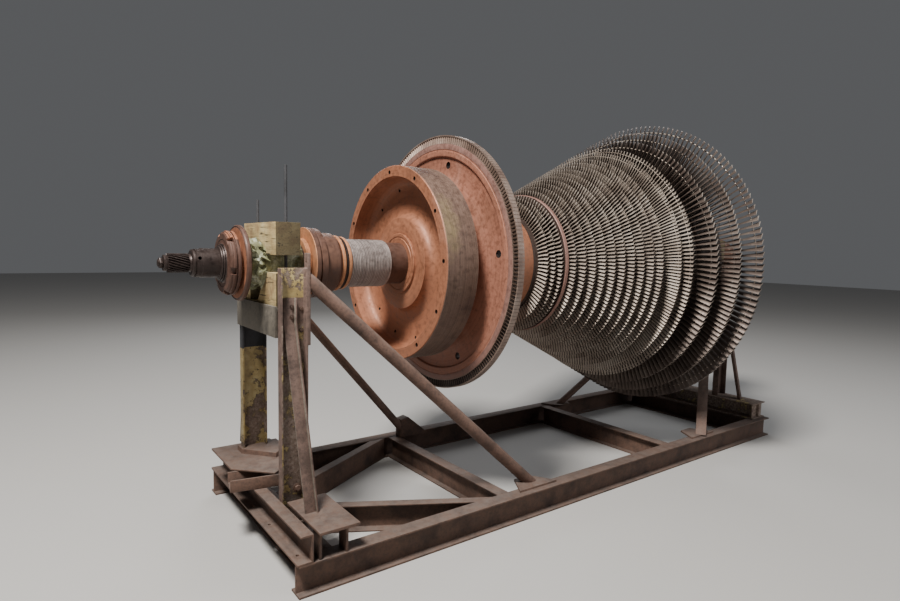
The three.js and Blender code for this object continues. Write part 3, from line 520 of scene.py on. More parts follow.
yellow = flaking_paint("flaking yellow paint", 0.525)
far_yellow = flaking_paint("fuller yellow paint", 0.48)
worn_yellow = flaking_paint("last of the yellow paint", 0.57)
grey_edge = scaled_steel(
    "greyish strut edge", (0.09, 0.070, 0.055), (0.215, 0.180, 0.145), (0.33, 0.29, 0.25))
# The brown rolled steel is darker than its own colour: painted shade for the dim light low in the
# hall.
frame_steel = scaled_steel(
    "brown rolled steel darkened as painted shade", (0.042, 0.025, 0.019), (0.106, 0.060, 0.042), (0.140, 0.112, 0.096))
pink_steel = scaled_steel(
    "pinkish brown steel", (0.065, 0.042, 0.033), (0.155, 0.100, 0.080), (0.25, 0.20, 0.17))
pipe_steel = scaled_steel(
    "dusty rusty pipe", (0.068, 0.039, 0.029), (0.140, 0.082, 0.061), (0.22, 0.176, 0.148))
rod_steel = scaled_steel(
    "dark rod steel", (0.012, 0.012, 0.013), (0.034, 0.034, 0.038), (0.070, 0.068, 0.070))
plate_steel = scaled_steel(
    "dirty grey plate", (0.038, 0.032, 0.026), (0.120, 0.104, 0.082), (0.24, 0.215, 0.18))
print("stand finishes done")

# %% [markdown]
# The blocks over and under the journals are rough timber. Grain runs along the piece, across the
# rotor, so the noise is stretched along Y. Dark cracks lie over it, and the sawn ends, which face
# along Y, have turned darker. The journals are wrapped in waxed paper, greenish yellow and creased.
# Its creases are darkened as painted shade, and its palest patches are painted highlights.

# %% Timber and wrapping
def timber_finish(name):
    made, tree, shader, where = new_finish(name, 0.0)
    grain = clouds(tree, moved(tree, where, scale=(1, 0.06, 1)), 120, 6, 0.6)
    cracks = clouds(tree, moved(tree, where, scale=(1, 0.10, 1)), 34, 5, 0.55)
    broad = clouds(tree, where, 9, 6, 0.6)
    base = ramp(tree, broad, [(0.3, (0.22, 0.135, 0.062)), (0.52, (0.385, 0.285, 0.130)),
                              (0.72, (0.50, 0.415, 0.23))])
    lines = ramp(tree, grain, [(0.32, 0.45), (0.46, 0.95), (0.7, 1.12)])
    lined = blend_colours(tree, 0.7, base, lines, "MULTIPLY")
    open_cracks = ramp(tree, cracks, [(0.33, 0.12), (0.37, 1.0)])
    cracked = blend_colours(tree, 1.0, lined, open_cracks, "MULTIPLY")
    facing = tree.nodes.new("ShaderNodeSeparateXYZ")
    tree.links.new(tree.nodes["Texture Coordinate"].outputs["Normal"], facing.inputs[0])
    across = calculate(tree, "ABSOLUTE", facing.outputs["Y"])
    end_grain = ramp(tree, across, [(0.5, 1.0), (0.9, 0.26)])
    coloured = blend_colours(tree, 1.0, cracked, end_grain, "MULTIPLY")
    tree.links.new(coloured, shader.inputs["Base Color"])
    shader.inputs["Roughness"].default_value = 0.86
    raise_grain(tree, shader, grain, 0.5, 0.003)
    return made


def paper_finish(name):
    made, tree, shader, where = new_finish(name, 0.0)
    creases = tree.nodes.new("ShaderNodeTexVoronoi")
    creases.feature = "DISTANCE_TO_EDGE"
    creases.inputs["Scale"].default_value = 26
    tree.links.new(where, creases.inputs["Vector"])
    broad = clouds(tree, where, 12, 7, 0.65)
    # The palest stop stands for painted highlights on the crumpled paper.
    base = ramp(tree, broad, [(0.3, (0.06, 0.060, 0.028)), (0.5, (0.180, 0.185, 0.095)),
                              (0.68, (0.50, 0.53, 0.43))])
    # The crease lines are darkened: painted shade in the folds.
    crease_shade = ramp(tree, creases.outputs["Distance"], [(0.0, 0.30), (0.05, 0.90), (0.3, 1.12)])
    coloured = blend_colours(tree, 0.7, base, crease_shade, "MULTIPLY")
    tree.links.new(coloured, shader.inputs["Base Color"])
    tree.links.new(ramp(tree, broad, [(0.3, 0.5), (0.7, 0.75)]), shader.inputs["Roughness"])
    raise_grain(tree, shader, creases.outputs["Distance"], 0.6, 0.006)
    return made


timber = timber_finish("rough timber")
paper = paper_finish("waxed paper")
print("all finishes:", sorted(made.name for made in bpy.data.materials))

# %% [markdown]
# A finished piece gets its finish, smooth shading up to a chosen edge angle, and the body that it
# rides on. If it stands for a CAD node, that node is hidden.

# %% Dressing a piece
def dress(piece, finish, slot_name, body, *nodes, angle=32):
    piece.data.materials.clear()
    piece.data.materials.append(finish)
    smooth(piece, angle)
    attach(piece, body)
    if nodes:
        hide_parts(*nodes)
    print(f"{piece.name}: {len(piece.data.polygons)} faces on {body}")
    return piece


def pick(piece, test):
    """In edit mode, selects the corners that pass a test of their place."""
    bpy.ops.mesh.select_mode(type="VERT")
    mesh = bmesh.from_edit_mesh(piece.data)
    for face in mesh.faces:
        face.select_set(False)
    for edge in mesh.edges:
        edge.select_set(False)
    for corner in mesh.verts:
        corner.select_set(False)
    for corner in mesh.verts:
        if test(piece.matrix_world @ corner.co):
            corner.select_set(True)
    mesh.select_flush(True)
    bmesh.update_edit_mesh(piece.data)


def turn(angle, axis, centre):
    """Rotates what is selected in edit mode. With no window the tool turns the other way."""
    bpy.ops.transform.rotate(value=-angle, orient_axis=axis, orient_type="GLOBAL",
                             center_override=centre)


# %% [markdown]
# ## The front end of the shaft
# The splined stub probably drove an oil pump. Its teeth run in a slow screw. A disc is drawn with
# four corners to each tooth, two of them pulled in for the gap, and then it is extruded in short
# steps that each turn a little.

# %% End nut and splined stub
def splined_stub(name, start, end, teeth, tip, root, twist):
    """Stations and radii in millimetres, and the twist of the whole length in radians."""
    steps = 8
    centre = (at(start), 0, AXIS)
    clear()
    bpy.ops.mesh.primitive_circle_add(
        vertices=4 * teeth, radius=tip / 1000, fill_type="NGON", location=centre,
        rotation=(0, math.pi / 2, 0))
    piece = settle(bpy.context.object, name)
    gaps = [corner.co.copy() for corner in piece.data.vertices if corner.index % 4 > 1]
    bpy.ops.object.mode_set(mode="EDIT")
    pick(piece, lambda place: any((place - gap).length < 1e-6 for gap in gaps))
    bpy.ops.transform.resize(value=(1, root / tip, root / tip), center_override=centre)
    bpy.ops.mesh.select_mode(type="FACE")
    bpy.ops.mesh.select_all(action="SELECT")
    stride = (end - start) / 1000 / steps
    for step in range(steps):
        bpy.ops.mesh.extrude_region_move(TRANSFORM_OT_translate={"value": (stride, 0, 0)})
        turn(twist / steps, "X", centre)
    tidy_shell(piece)
    return piece


TEETH = 22
stub = splined_stub("spline_teeth", start=42, end=134, teeth=TEETH, tip=46, root=38, twist=0.62)
stub_core = lathe("stub_core", [
    (23.7, 0), (23.7, 36), (26, 39), (37, 39), (42, 37), (134, 37), (140, 42), (145.7, 44),
    (145.7, 0)], 64)
stub = unite("splined_stub_teeth", [stub, stub_core])
dress(stub, shaft_steel, "shaft_steel", "rotor", "splined_stub")

clear()
bpy.ops.mesh.primitive_cylinder_add(
    vertices=6, radius=0.028, depth=0.013, location=(at(14), 0, AXIS),
    rotation=(0, math.pi / 2, 0))
nut_body = settle(bpy.context.object, "nut_body")
apply(nut_body, "BEVEL", width=0.0015, segments=2, limit_method="ANGLE",
      angle_limit=math.radians(30))
nut_thread = lathe("nut_thread", [(0, 0), (0, 14), (1.5, 17)] + grooves(2, 23, 7, 17.5, 16.2) + [
    (23.4, 17), (23.4, 0)], 32)
end_nut = unite("end_nut_and_thread", [nut_body, nut_thread])
dress(end_nut, shaft_steel, "shaft_steel", "rotor", "end_nut")

# %% [markdown]
# The shaft itself is turned from one forging. It carries a collar with a pin hole, a plain length,
# and a few bright rings just before the big ring nut.

# %% Front shaft
shaft = lathe("front_shaft_turned", [
    (146, 0), (146, 60), (150, 66), (157, 67), (158, 62), (163, 62), (164, 69), (187, 69),
    (190, 72), (269, 72), (271, 75), (273, 84), (277, 86), (278, 83), (281, 83), (282, 89),
    (286, 91), (287, 88), (289, 88), (290, 96), (293.7, 98), (293.7, 60), (387, 60), (387, 103),
    (389, 104), (690, 104), (690, 80), (1199, 80), (1199, 119), (1202, 122), (1351, 122),
    (1351, 60), (1560.5, 60), (1560.5, 0)], 96)
cut(shaft, [drill(spot(176, 40, 22), spot(176, 90, 22), 0.009)])
dress(shaft, shaft_steel, "shaft_steel", "rotor", "front_shaft")

# %% [markdown]
# One piece can carry more than one finish. Faces are chosen by how far they lie from the axis and
# by their station. The part of the shaft that enters the drum takes the dark brown rust, partly its
# own colour and partly painted shade.

# %% Second finish on part of a piece
def repaint(piece, finish, test):
    """Faces whose middle and normal pass the test take another finish."""
    piece.data.materials.append(finish)
    place = len(piece.data.materials) - 1
    for face in piece.data.polygons:
        if test(face.center, face.normal):
            face.material_index = place
    print(piece.name, "now has", len(piece.data.materials), "finishes")


def refinish(piece, finish, low, high, start, end):
    """Faces between two radii and two stations take another finish."""
    repaint(piece, finish, lambda middle, normal: (
        low <= math.hypot(middle.y, middle.z - AXIS) * 1000 <= high
        and start <= (middle.x + LENGTH / 2) * 1000 <= end))


# Dark brown rust on the part inside the drum: its own rust, deepened as painted shade.
refinish(shaft, brown_rust_and_shade, 100, 125, 1198, 1352)

# %% [markdown]
# The ring nut is tightened with a hook spanner, so it has square slots round its rim. Behind it the
# thrust collar stands out as a smooth disc with a raised lip.

# %% Ring nut and thrust collar
NUT_SLOTS = 6
FIRST_SLOT = 0.75   # radians from straight up
to_axis, from_axis = Matrix.Translation((0, 0, AXIS)), Matrix.Translation((0, 0, -AXIS))
nut = lathe("ring_nut_turned", [
    (294, 60.5), (294, 99), (296, 101), (296, 118), (294, 120), (294, 146), (300, 154),
    (308, 154), (309, 158), (313, 161), (322, 161), (323, 152), (329, 152), (330, 161),
    (343, 161), (344.7, 158), (344.7, 60.5)], 128, closed=True)
slots = []
for index in range(NUT_SLOTS):
    slot_block = block((at(288), -0.017, AXIS + 0.139), (at(321), 0.017, AXIS + 0.175))
    round_the_axis = Matrix.Rotation(index / NUT_SLOTS * 2 * math.pi + FIRST_SLOT, 4, "X")
    slot_block.matrix_world = to_axis @ round_the_axis @ from_axis @ slot_block.matrix_world
    slots.append(slot_block)
cut(nut, slots)
apply(nut, "BEVEL", width=0.0012, segments=2, limit_method="ANGLE", angle_limit=math.radians(50))
dress(nut, brown_rust_and_shade, "rotor_rust", "rotor", "ring_nut")
# The upper faces of the nut take the lighter orange rust as a painted highlight, where the light
# falls on them from above.
repaint(nut, rust, lambda middle, normal: middle.z > AXIS + 0.12 and normal.x > -0.7)

collar = lathe("thrust_collar_turned", [
    (345, 60.5), (345, 122), (347, 125), (359, 125), (361, 128), (361, 178), (363, 181),
    (363, 184), (361, 186), (366, 191), (370, 192), (381, 192), (384.5, 189), (386.7, 184),
    (386.7, 60.5)], 128, closed=True)
dress(collar, brown_rust_and_shade, "rotor_rust", "rotor", "thrust_collar")
refinish(collar, rust, 120, 176, 345, 362)

# %% [markdown]
# Behind the journal come the oil thrower rings and the gland. They are thin discs with sharp lips,
# one bright orange with fresh rust, the next ones darker.

# %% Oil rings and seal collar
oil_ring = lathe("oil_rings_turned", [
    (690.3, 80.5), (690.3, 132), (693, 135), (713, 135), (716, 132), (716, 121), (718, 120),
    (718, 190), (721, 193), (742, 193), (746, 190), (746, 151), (748, 150), (751.7, 150),
    (751.7, 80.5)], 128, closed=True)
dress(oil_ring, bright_rust, "rotor_rust", "rotor", "oil_deflector")
refinish(oil_ring, brown_rust_and_shade, 191, 194, 720, 746)
gland = lathe("seal_collar_turned", [
    (752, 80.5), (752, 184), (756, 189), (783, 189), (787, 185), (790, 168), (793, 165),
    (866, 165), (871, 160), (886, 150), (889, 150), (889, 153), (891, 154), (903, 154),
    (906, 151), (909, 143), (911, 142), (924, 142), (926, 147), (928, 148), (942, 148),
    (945.7, 145), (945.7, 80.5)], 128, closed=True)
dress(gland, brown_rust_and_shade, "rotor_rust", "rotor", "seal_collar")
refinish(gland, bright_rust, 140, 158, 884, 946)
refinish(gland, shaft_steel, 140, 150, 906, 926)

# %% [markdown]
# The long sleeve between gland and drum is cut with two dozen fine grooves. They hold thin sealing
# fins against the casing.

# %% Grooved sleeve
SLEEVE_GROOVES = 24
sleeve = lathe("labyrinth_sleeve_turned", [
    (946, 80.5)] + grooves(946, 1186, SLEEVE_GROOVES, 136, 130.5) + [
    (1187, 134), (1198.7, 134), (1198.7, 80.5)], 128, closed=True)
dress(sleeve, sleeve_steel, "grooved_steel", "rotor", "labyrinth_sleeve")

# %% [markdown]
# ## The balance drum
# A deep dish, open to the front. Steam pressure on it balances the push on the blades. The rim has
# a ring of tapped holes, the bottom of the dish has another, and the outside is cut with fine
# labyrinth grooves that have rusted olive and brown.

# %% Balance drum
DRUM_GROOVES = 27
drum = lathe("balance_drum_turned", [
    (1272, 512), (1272, 570), (1276, 574)] + grooves(1279, 1476, DRUM_GROOVES, 574, 568.5) + [
    (1477, 574), (1480, 574), (1483, 571), (1483, 470), (1487, 446), (1500, 432), (1510, 430),
    (1560.5, 430), (1560.5, 60.5), (1351.3, 60.5), (1351.3, 122.4), (1318, 122.4), (1318, 150),
    (1321, 152), (1321, 158), (1318, 160), (1318, 176), (1320, 178), (1331, 179), (1331, 270),
    (1333, 274), (1350, 277), (1364, 284), (1376, 297), (1384, 314), (1389, 336), (1392, 362),
    (1393, 400), (1392, 436), (1389, 456), (1383, 473), (1372, 488), (1356, 498), (1336, 504),
    (1304, 509)], 160, closed=True)


def ring_of_drills(count, first, start, end, out, radius, sides):
    """Drills between two stations, out millimetres from the axis, the first one at an angle."""
    angles = [first + 360 / count * index for index in range(count)]
    return [drill(spot(start, out, angle), spot(end, out, angle), radius, sides)
            for angle in angles]


HOLES = 12
rim_drills = ring_of_drills(HOLES, 3, 1262, 1312, 538, 0.012, 16)
web_drills = ring_of_drills(HOLES, 13, 1372, 1416, 455, 0.0095, 14)
cut(drum, rim_drills + web_drills)
dress(drum, rust, "rotor_rust", "rotor", "balance_drum", angle=30)
refinish(drum, grooved_steel, 566, 575, 1277, 1482)
# The walls of both rings of holes take the dark oily steel as painted shade inside the holes.
refinish(drum, shaft_steel, 520, 556, 1280, 1305)
refinish(drum, shaft_steel, 440, 470, 1394, 1416)

# %% [markdown]
# ## The control wheel
# The first stage of the turbine: a big disc with short blades under a shroud. The disc is dished
# near the hub, has a turned step at two thirds of its radius and five balance holes.

# %% Control wheel
wheel = lathe("control_wheel_turned", [
    (1561, 0), (1561, 432), (1563, 452), (1569, 478), (1578, 506), (1588, 534), (1593, 560),
    (1595, 590), (1595, 640), (1593, 651), (1585, 655), (1582, 660), (1582, 688), (1584, 691),
    (1584, 697), (1582, 700), (1582, 726), (1584, 732.5), (1638, 732.5), (1640, 726),
    (1640, 640), (1643, 600), (1650, 540), (1661, 470), (1674, 410), (1688, 372), (1700, 352),
    (1700.1, 0)], 160)
BALANCE_HOLES = 5
cut(wheel, ring_of_drills(BALANCE_HOLES, 6.6, 1540, 1700, 607, 0.022, 24))
dress(wheel, wheel_rust, "rotor_rust", "rotor", "control_wheel", angle=30)
refinish(wheel, pale_rust, 700, 740, 1570, 1645)
# The walls of the balance holes take the dark oily steel as painted shade inside the holes.
refinish(wheel, shaft_steel, 580, 632, 1598, 1637)

# %% [markdown]
# ## Blades
# Every blade is the same at heart: a small cambered foil, drawn as an eight sided oval, flattened,
# bent, set at its stagger angle, and drawn out in steps. Blades twist as they rise, because the tip
# moves faster than the root, and the twist grows towards the tip. One blade is made for each row
# and then copied round the axis with an array.

# %% One blade
FOIL_CORNERS = 8


def blade(station, chord, thickness, root, tip, stagger, tip_stagger=None, steps=1, tip_scale=1.0,
          bend=0.13):
    """Sizes in millimetres, angles in degrees. Station is the middle of the chord."""
    low = Vector((at(station), 0, AXIS + root / 1000))
    width = chord / 1000
    clear()
    bpy.ops.mesh.primitive_circle_add(
        vertices=FOIL_CORNERS, radius=0.5, fill_type="NGON", location=low)
    piece = settle(bpy.context.object, "blade")
    bpy.ops.object.mode_set(mode="EDIT")
    bpy.ops.mesh.select_all(action="SELECT")
    bpy.ops.transform.resize(value=(width, thickness / 1000, 1), center_override=low)
    for reach in (0.42, 0.2):
        pick(piece, lambda place: abs(place.x - low.x) < reach * width)
        bpy.ops.transform.translate(value=(0, bend / 2 * width, 0))
    bpy.ops.mesh.select_mode(type="FACE")
    bpy.ops.mesh.select_all(action="SELECT")
    turn(math.radians(stagger), "Z", low)
    rise = (tip - root) / 1000 / steps
    twist = 0 if tip_stagger is None else math.radians(tip_stagger - stagger) / steps ** 3
    shrink = tip_scale ** (1 / steps)
    for step in range(steps):
        bpy.ops.mesh.extrude_region_move(TRANSFORM_OT_translate={"value": (0, 0, rise)})
        centre = low + Vector((0, 0, rise * (step + 1)))
        if tip_scale != 1:
            bpy.ops.transform.resize(value=(shrink, shrink, 1), center_override=centre)
        if twist:
            turn(twist * (3 * step * step + 3 * step + 1), "Z", centre)
    tidy_shell(piece, 1e-6)
    return piece


def around(piece, count, name, phase=0.0):
    """Copies a piece round the rotor axis until the ring is full."""
    clear()
    bpy.ops.object.empty_add()
    guide = bpy.context.object
    guide.matrix_world = to_axis @ Matrix.Rotation(2 * math.pi / count, 4, "X") @ from_axis
    apply(piece, "ARRAY", fit_type="FIXED_COUNT", count=count, use_relative_offset=False,
          use_object_offset=True, offset_object=guide)
    bpy.data.objects.remove(guide)
    piece.matrix_world = to_axis @ Matrix.Rotation(phase, 4, "X") @ from_axis
    return settle(piece, name)


print("a blade is drawn with", FOIL_CORNERS, "corners to a section")

# %% [markdown]
# The control wheel's blades carry their own piece of shroud. Blade and shroud tile are made
# together, so that the fine joints between the tiles show all round the rim.

# %% Control blades
CONTROL_BLADES = 232    # the photo gives between 227 and 233
SHROUD_RADIUS = 0.779   # in metres
control_blade = blade(1603, chord=36, thickness=7, root=731, tip=776, stagger=0, bend=-0.34)
tile_width = 2 * math.pi * SHROUD_RADIUS / CONTROL_BLADES
tile = block((at(1583), -0.45 * tile_width, AXIS + 0.7755),
             (at(1623), 0.45 * tile_width, AXIS + 0.7825))
foot = block((at(1584), -0.47 * tile_width, AXIS + 0.728),
             (at(1623), 0.47 * tile_width, AXIS + 0.7345))
control_blade = unite("control_blade", [control_blade, tile, foot])
control_ring = around(control_blade, CONTROL_BLADES, "control_wheel_blades")
dress(control_ring, shroud_steel, "blade_steel", "rotor", "control_blading")
# The front faces of the control blades take the lighter finish as a painted highlight, and the rest
# of each blade takes the dark flank finish as painted shade.
refinish(control_ring, wheel_blade_and_highlight, 740, 774, 1583, 1592)
refinish(control_ring, shaded_blade, 740, 774, 1592, 1624)

# %% [markdown]
# ## The rows of the bladed drum
# Eighteen rows of blades follow each other in groups of three, ten, two and three. Within a group
# they grow evenly, so a group needs only its first row and the steps from row to row. The number of
# blades in each row was measured in the photo, by how often they repeat along its rim. It may be
# one or two out.

# %% Rows of blades, front to back
ROWS = []


def add_rows(counts, station, pitch, tip, tip_step, root, root_step, chord):
    for index, count in enumerate(counts):
        ROWS.append({"station": station + index * pitch, "tip": tip + index * tip_step,
                     "root": root + index * root_step, "count": count, "chord": chord})


# counts, station and pitch, tip and its step, root and its step, chord
add_rows((104, 106, 110), 2150, 46, 430, 18, 350, 4, 24)
add_rows((126, 133, 147, 155, 162, 168, 176, 182, 188, 195), 2324, 60.6, 505, 29.5, 425, 24, 25)
add_rows((238,), 2985, 0, 828, 0, 668, 0, 24)
add_rows((199,), 3060, 0, 868, 0, 690, 0, 26)
add_rows((156, 191, 163), 3205, 153, 945, 75, 705, 32, 62)
FRONT_ROWS, MIDDLE_ROWS, PAIR, LAST_ROWS = ROWS[:3], ROWS[3:13], ROWS[13:15], ROWS[15:]
print(len(ROWS), "rows with", sum(row["count"] for row in ROWS), "blades")

# %% [markdown]
# ## The bladed drum
# Below the blades the drum is plain and almost black as painted shade, the shade that falls under
# the blades, with a shallow groove between each two rows. Its front neck is open to view and has
# rusted orange. A smooth pinkish land closes the first group of three rows.

# %% Drum in three lengths
def bed(rows, width):
    """Outline of the drum under some rows: a low step under each, and a groove before the next."""
    points = []
    for row in rows:
        start, root = row["station"], row["root"]
        points += [(start - 4, root - 7), (start - 3, root), (start + width, root),
                   (start + width + 1, root - 7)]
    return points


front_drum = lathe("front_drum_turned", [
    (1700.3, 0), (1700.3, 352), (1712, 347), (1730, 345), (2118, 345), (2126, 343)]
    + bed(FRONT_ROWS, 30) + [
    (2280, 351), (2282, 466), (2285, 470), (2307, 470), (2310, 466), (2310, 0)], 144)
dress(front_drum, rust, "rotor_rust", "rotor", "front_drum", angle=30)
refinish(front_drum, drum_in_painted_shade, 335, 470, 2120, 2281)
refinish(front_drum, pale_rust, 455, 472, 2281, 2312)
middle_drum = lathe("middle_drum_turned", [
    (2310.3, 0), (2310.3, 418)] + bed(MIDDLE_ROWS, 34) + [(2934.7, 640), (2934.7, 0)], 144)
dress(middle_drum, drum_in_painted_shade, "blade_steel", "rotor", "middle_drum", angle=30)
rear_drum = lathe("rear_drum_turned", [
    (2935, 0), (2935, 655)] + bed(PAIR, 40) + bed(LAST_ROWS, 74) + [
    (3600, 760), (3618, 760), (3625, 752), (3625, 690), (3612, 672), (3604, 640), (3604, 420),
    (3612, 380), (3625, 360), (3625, 0)], 144)
dress(rear_drum, drum_in_painted_shade, "blade_steel", "rotor", "rear_drum", angle=30)

# %% [markdown]
# Now the rows themselves. The first fifteen have short blades. The last three have long ones,
# nearly edge on at the root and turned well across at the tip. Each row starts at its own angle, as
# on the real rotor. The front edges and the tips keep the lighter blade finish, while the flanks
# take a dark second finish as painted shade.

# %% All the blade rows
SHORT_MIDDLE, LONG_MIDDLE = 14, 35   # from a row's station to the middle of its chord
MOST_PHASE = 0.06                    # radians
for number, row in enumerate(ROWS, start=1):
    station, chord, root, tip = row["station"], row["chord"], row["root"], row["tip"]
    long_row = row in LAST_ROWS
    if long_row:
        one = blade(station + LONG_MIDDLE, chord, thickness=9.0, root=root - 3, tip=tip,
                    stagger=5, tip_stagger=48, steps=5, tip_scale=0.84, bend=0.08)
        flank, edge = long_blade_shade, station + 10
    else:
        one = blade(station + SHORT_MIDDLE, chord, thickness=5.5, root=root - 2, tip=tip,
                    stagger=14, tip_stagger=46, steps=3, tip_scale=0.96)
        flank, edge = shaded_blade, station + 14
    ring = around(one, row["count"], f"blade_row_{number:02d}_blades",
                  phase=random.uniform(0, MOST_PHASE))
    replaced = [f"blade_row_{number}"] if long_row else []
    dress(ring, blade_steel, "blade_steel", "rotor", *replaced)
    # The flank faces take the dark finish as painted shade between the blades.
    refinish(ring, flank, root - 10, tip - 2, edge, edge + 90)

# %% [markdown]
# Lacing wires run through holes near the tips of the longer blades and stop them from humming. They
# are plain hoops of round wire.

# %% Lacing wires
def hoop(name, station, radius, wire):
    clear()
    bpy.ops.mesh.primitive_torus_add(
        major_radius=radius / 1000, minor_radius=wire / 1000,
        major_segments=192, minor_segments=8,
        location=(at(station), 0, AXIS), rotation=(0, math.pi / 2, 0))
    return settle(bpy.context.object, name)


hoops = [hoop("hoop", row["station"] + SHORT_MIDDLE, row["tip"] - 24, 2.5) for row in PAIR]
hoops += [hoop("hoop", row["station"] + LONG_MIDDLE, row["tip"] - 50, 4) for row in LAST_ROWS]
dress(unite("lacing_wires", hoops), blade_steel, "blade_steel", "rotor")

# %% [markdown]
# ## The rear end
# The photo shows little of it, so most of it is guessed from the front end: a stepped shaft, a
# wrapped journal and a flange with bolt holes, which would have driven the generator.

# %% Rear shaft and coupling
rear_shaft = lathe("rear_shaft_turned", [
    (3625.3, 0), (3625.3, 232), (3633, 240), (3712, 240), (3722, 236), (3752, 196), (3762, 190)]
    + grooves(3860, 4140, 22, 190, 184) + [
    (4141, 190), (4378, 190), (4384, 184), (4384, 107), (4387, 104), (4689, 104), (4689, 144),
    (4695, 150), (4764, 150), (4769.7, 146), (4769.7, 0)], 112)
dress(rear_shaft, shaft_steel, "shaft_steel", "rotor", "rear_shaft")
coupling = lathe("rear_coupling_turned", [
    (4770, 0), (4770, 150), (4773, 158), (4773, 228), (4780, 235), (4848, 235), (4856, 228),
    (4856, 120), (4851, 116), (4851, 0)], 128)
COUPLING_HOLES = 6
cut(coupling, ring_of_drills(COUPLING_HOLES, 0, 4760, 4866, 190, 0.017, 24))
dress(coupling, brown_rust_and_shade, "rotor_rust", "rotor", "rear_coupling")

# %% [markdown]
# ## Wrapped journals
# Both journals are wrapped against damp in waxed paper. The wrapping starts as a plain tube. The
# corners of its free ends are shaken at random and then pulled out in five places, while the part
# that lies in the saddle stays flat. At the front three torn flaps hang loose.

# %% Wrapping
def flap(root, tip, width):
    """A torn corner: a thin three sided spike from its root to its tip."""
    along = tip - root
    clear()
    bpy.ops.mesh.primitive_cone_add(
        vertices=3, radius1=width / 2, depth=along.length, location=(root + tip) / 2,
        rotation=along.to_track_quat("Z", "Y").to_euler())
    piece = bpy.context.object
    piece.scale = (1, 0.12, 1)
    return settle(piece, "flap")


PAPER_BORE, PAPER_RADIUS = 104.5, 111.5
BULGES = ((150, 0.016), (40, 0.019), (-35, 0.014), (-100, 0.017), (95, 0.010))  # angle, reach


def wrapping(name, node, start, end, clear_start, clear_end, torn=()):
    """Loose at both ends, and smooth between the clear stations, where it lies in the saddle."""
    bays = 16
    outline = [(start + (end - start) * bay / bays, PAPER_RADIUS) for bay in range(bays + 1)]
    piece = lathe(name, [(start, PAPER_BORE)] + outline + [(end, PAPER_BORE)], 44, closed=True)

    def is_loose(place):
        station = (place.x + LENGTH / 2) * 1000
        outside = math.hypot(place.y, place.z - AXIS) > 0.108
        return outside and not clear_start < station < clear_end

    bpy.ops.object.mode_set(mode="EDIT")
    pick(piece, is_loose)
    bpy.ops.transform.vertex_random(offset=0.015, normal=0.5, seed=3)
    for angle, reach in BULGES:
        middle = spot((start + clear_start) / 2 + 0.35 * reach * 1000, PAPER_RADIUS, angle)
        pick(piece, lambda place: is_loose(place) and (place - middle).length < 0.045)
        outwards = (middle - Vector((middle.x, 0, AXIS))).normalized()
        bpy.ops.transform.translate(value=outwards * reach)
    clear()
    flaps = [flap(*corners) for corners in torn]
    dress(unite(name, [piece] + flaps), paper, "wrapping", "rotor", node, angle=8)


wrapping("front_wrapping", "front_journal_wrap", 391, 682, 476, 614, torn=(
    (spot(462, 112, 22), spot(500, 138, 4), 0.07),
    (spot(455, 116, -20), spot(468, 150, -62), 0.09),
    (spot(470, 112, 60), spot(480, 128, 30), 0.06)))
wrapping("rear_wrapping", "rear_journal_wrap", 4388, 4685, 4467, 4605)

# %% [markdown]
# ## The stand
# The rolled sections of the stand already have their right shape in the CAD model, but their edges
# are perfectly sharp. Real edges are rounded by rolling and by years of knocks. Each section is
# copied, its loose triangles are welded into clean faces, and its edges are bevelled a little.
# Where two finishes meet on one section, its faces are split at that height with a bisect.

# %% A rounded copy of a section
def rounded(node, finish, slot_name, width=0.0025, segments=2, cutters=(), slices=()):
    """width is the bevel's, and slices holds the heights of the splits, all in metres."""
    piece = bpy.data.objects.new(node + "_rounded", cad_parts[node].data.copy())
    bpy.context.collection.objects.link(piece)
    edit(piece)
    bpy.ops.mesh.remove_doubles(threshold=1e-5)
    bpy.ops.mesh.select_all(action="SELECT")
    bpy.ops.mesh.dissolve_limited(angle_limit=math.radians(1))
    clear()
    if cutters:
        cut(piece, list(cutters))
    apply(piece, "BEVEL", width=width, segments=segments, limit_method="ANGLE",
          angle_limit=math.radians(35), use_clamp_overlap=True, harden_normals=False)
    for height in slices:
        edit(piece)
        bpy.ops.mesh.bisect(plane_co=(0, 0, height), plane_no=(0, 0, 1))
        clear()
    return dress(piece, finish, slot_name, "stand", node, angle=40)


print("sections will be copied from", len(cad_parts), "CAD nodes")

# %% [markdown]
# The base is made of brown rolled beams, braced in plan. The raised beam at the front has four
# bolt holes in its lower flange.

# %% Base of the stand
for node in ("near_long_beam", "far_long_beam", "front_lower_cross", "front_cross", "middle_cross",
             "rear_lower_cross", "near_plan_brace", "far_plan_brace", "front_far_runner",
             "front_far_packing", "front_near_stool", "front_far_bracket"):
    rounded(node, frame_steel, "frame_steel")
FLANGE, BELOW, OVER = at(434), 0.14, 0.17   # where the drills stand, and their two ends
flange_holes = [drill(Vector((FLANGE, y, BELOW)), Vector((FLANGE, y, OVER)), 0.008, 14)
                for y in (-0.62, -0.26, -0.02, 0.3)]
rounded("front_raised_beam", frame_steel, "frame_steel", cutters=flange_holes)

# %% [markdown]
# Two channel columns stand at each end, propped by raking angle bars. Only the front ones were
# painted. Dirt has greyed the outer edges of the bars, the near column shows bare steel round the
# bolts, and the far column is painted almost black as painted shade from below the cross beam up to
# its top. The beam under the rear columns keeps a little yellow paint.

# %% Columns and struts
for node in ("rear_near_column", "rear_far_column"):
    rounded(node, pink_steel, "frame_steel")
for node in ("front_near_raker", "front_far_raker", "rear_near_raker", "rear_far_raker"):
    raker = rounded(node, pink_steel, "frame_steel", width=0.0015)
    outwards = 1 if "rear" in node else -1
    repaint(raker, grey_edge, lambda middle, normal: (
        normal.x * outwards > 0.5 and abs(middle.y) > 0.3))
rounded("rear_raised_beam", worn_yellow, "frame_steel")


def column_holes(places, radius=0.005, half_length=14):
    """Level drills along the rotor, at (station, y, height) in millimetres."""
    holes = []
    for station, y, z in places:
        start, end = (Vector((at(station + reach), y / 1000, z / 1000))
                      for reach in (-half_length, half_length))
        holes.append(drill(start, end, radius, 12))
    return holes


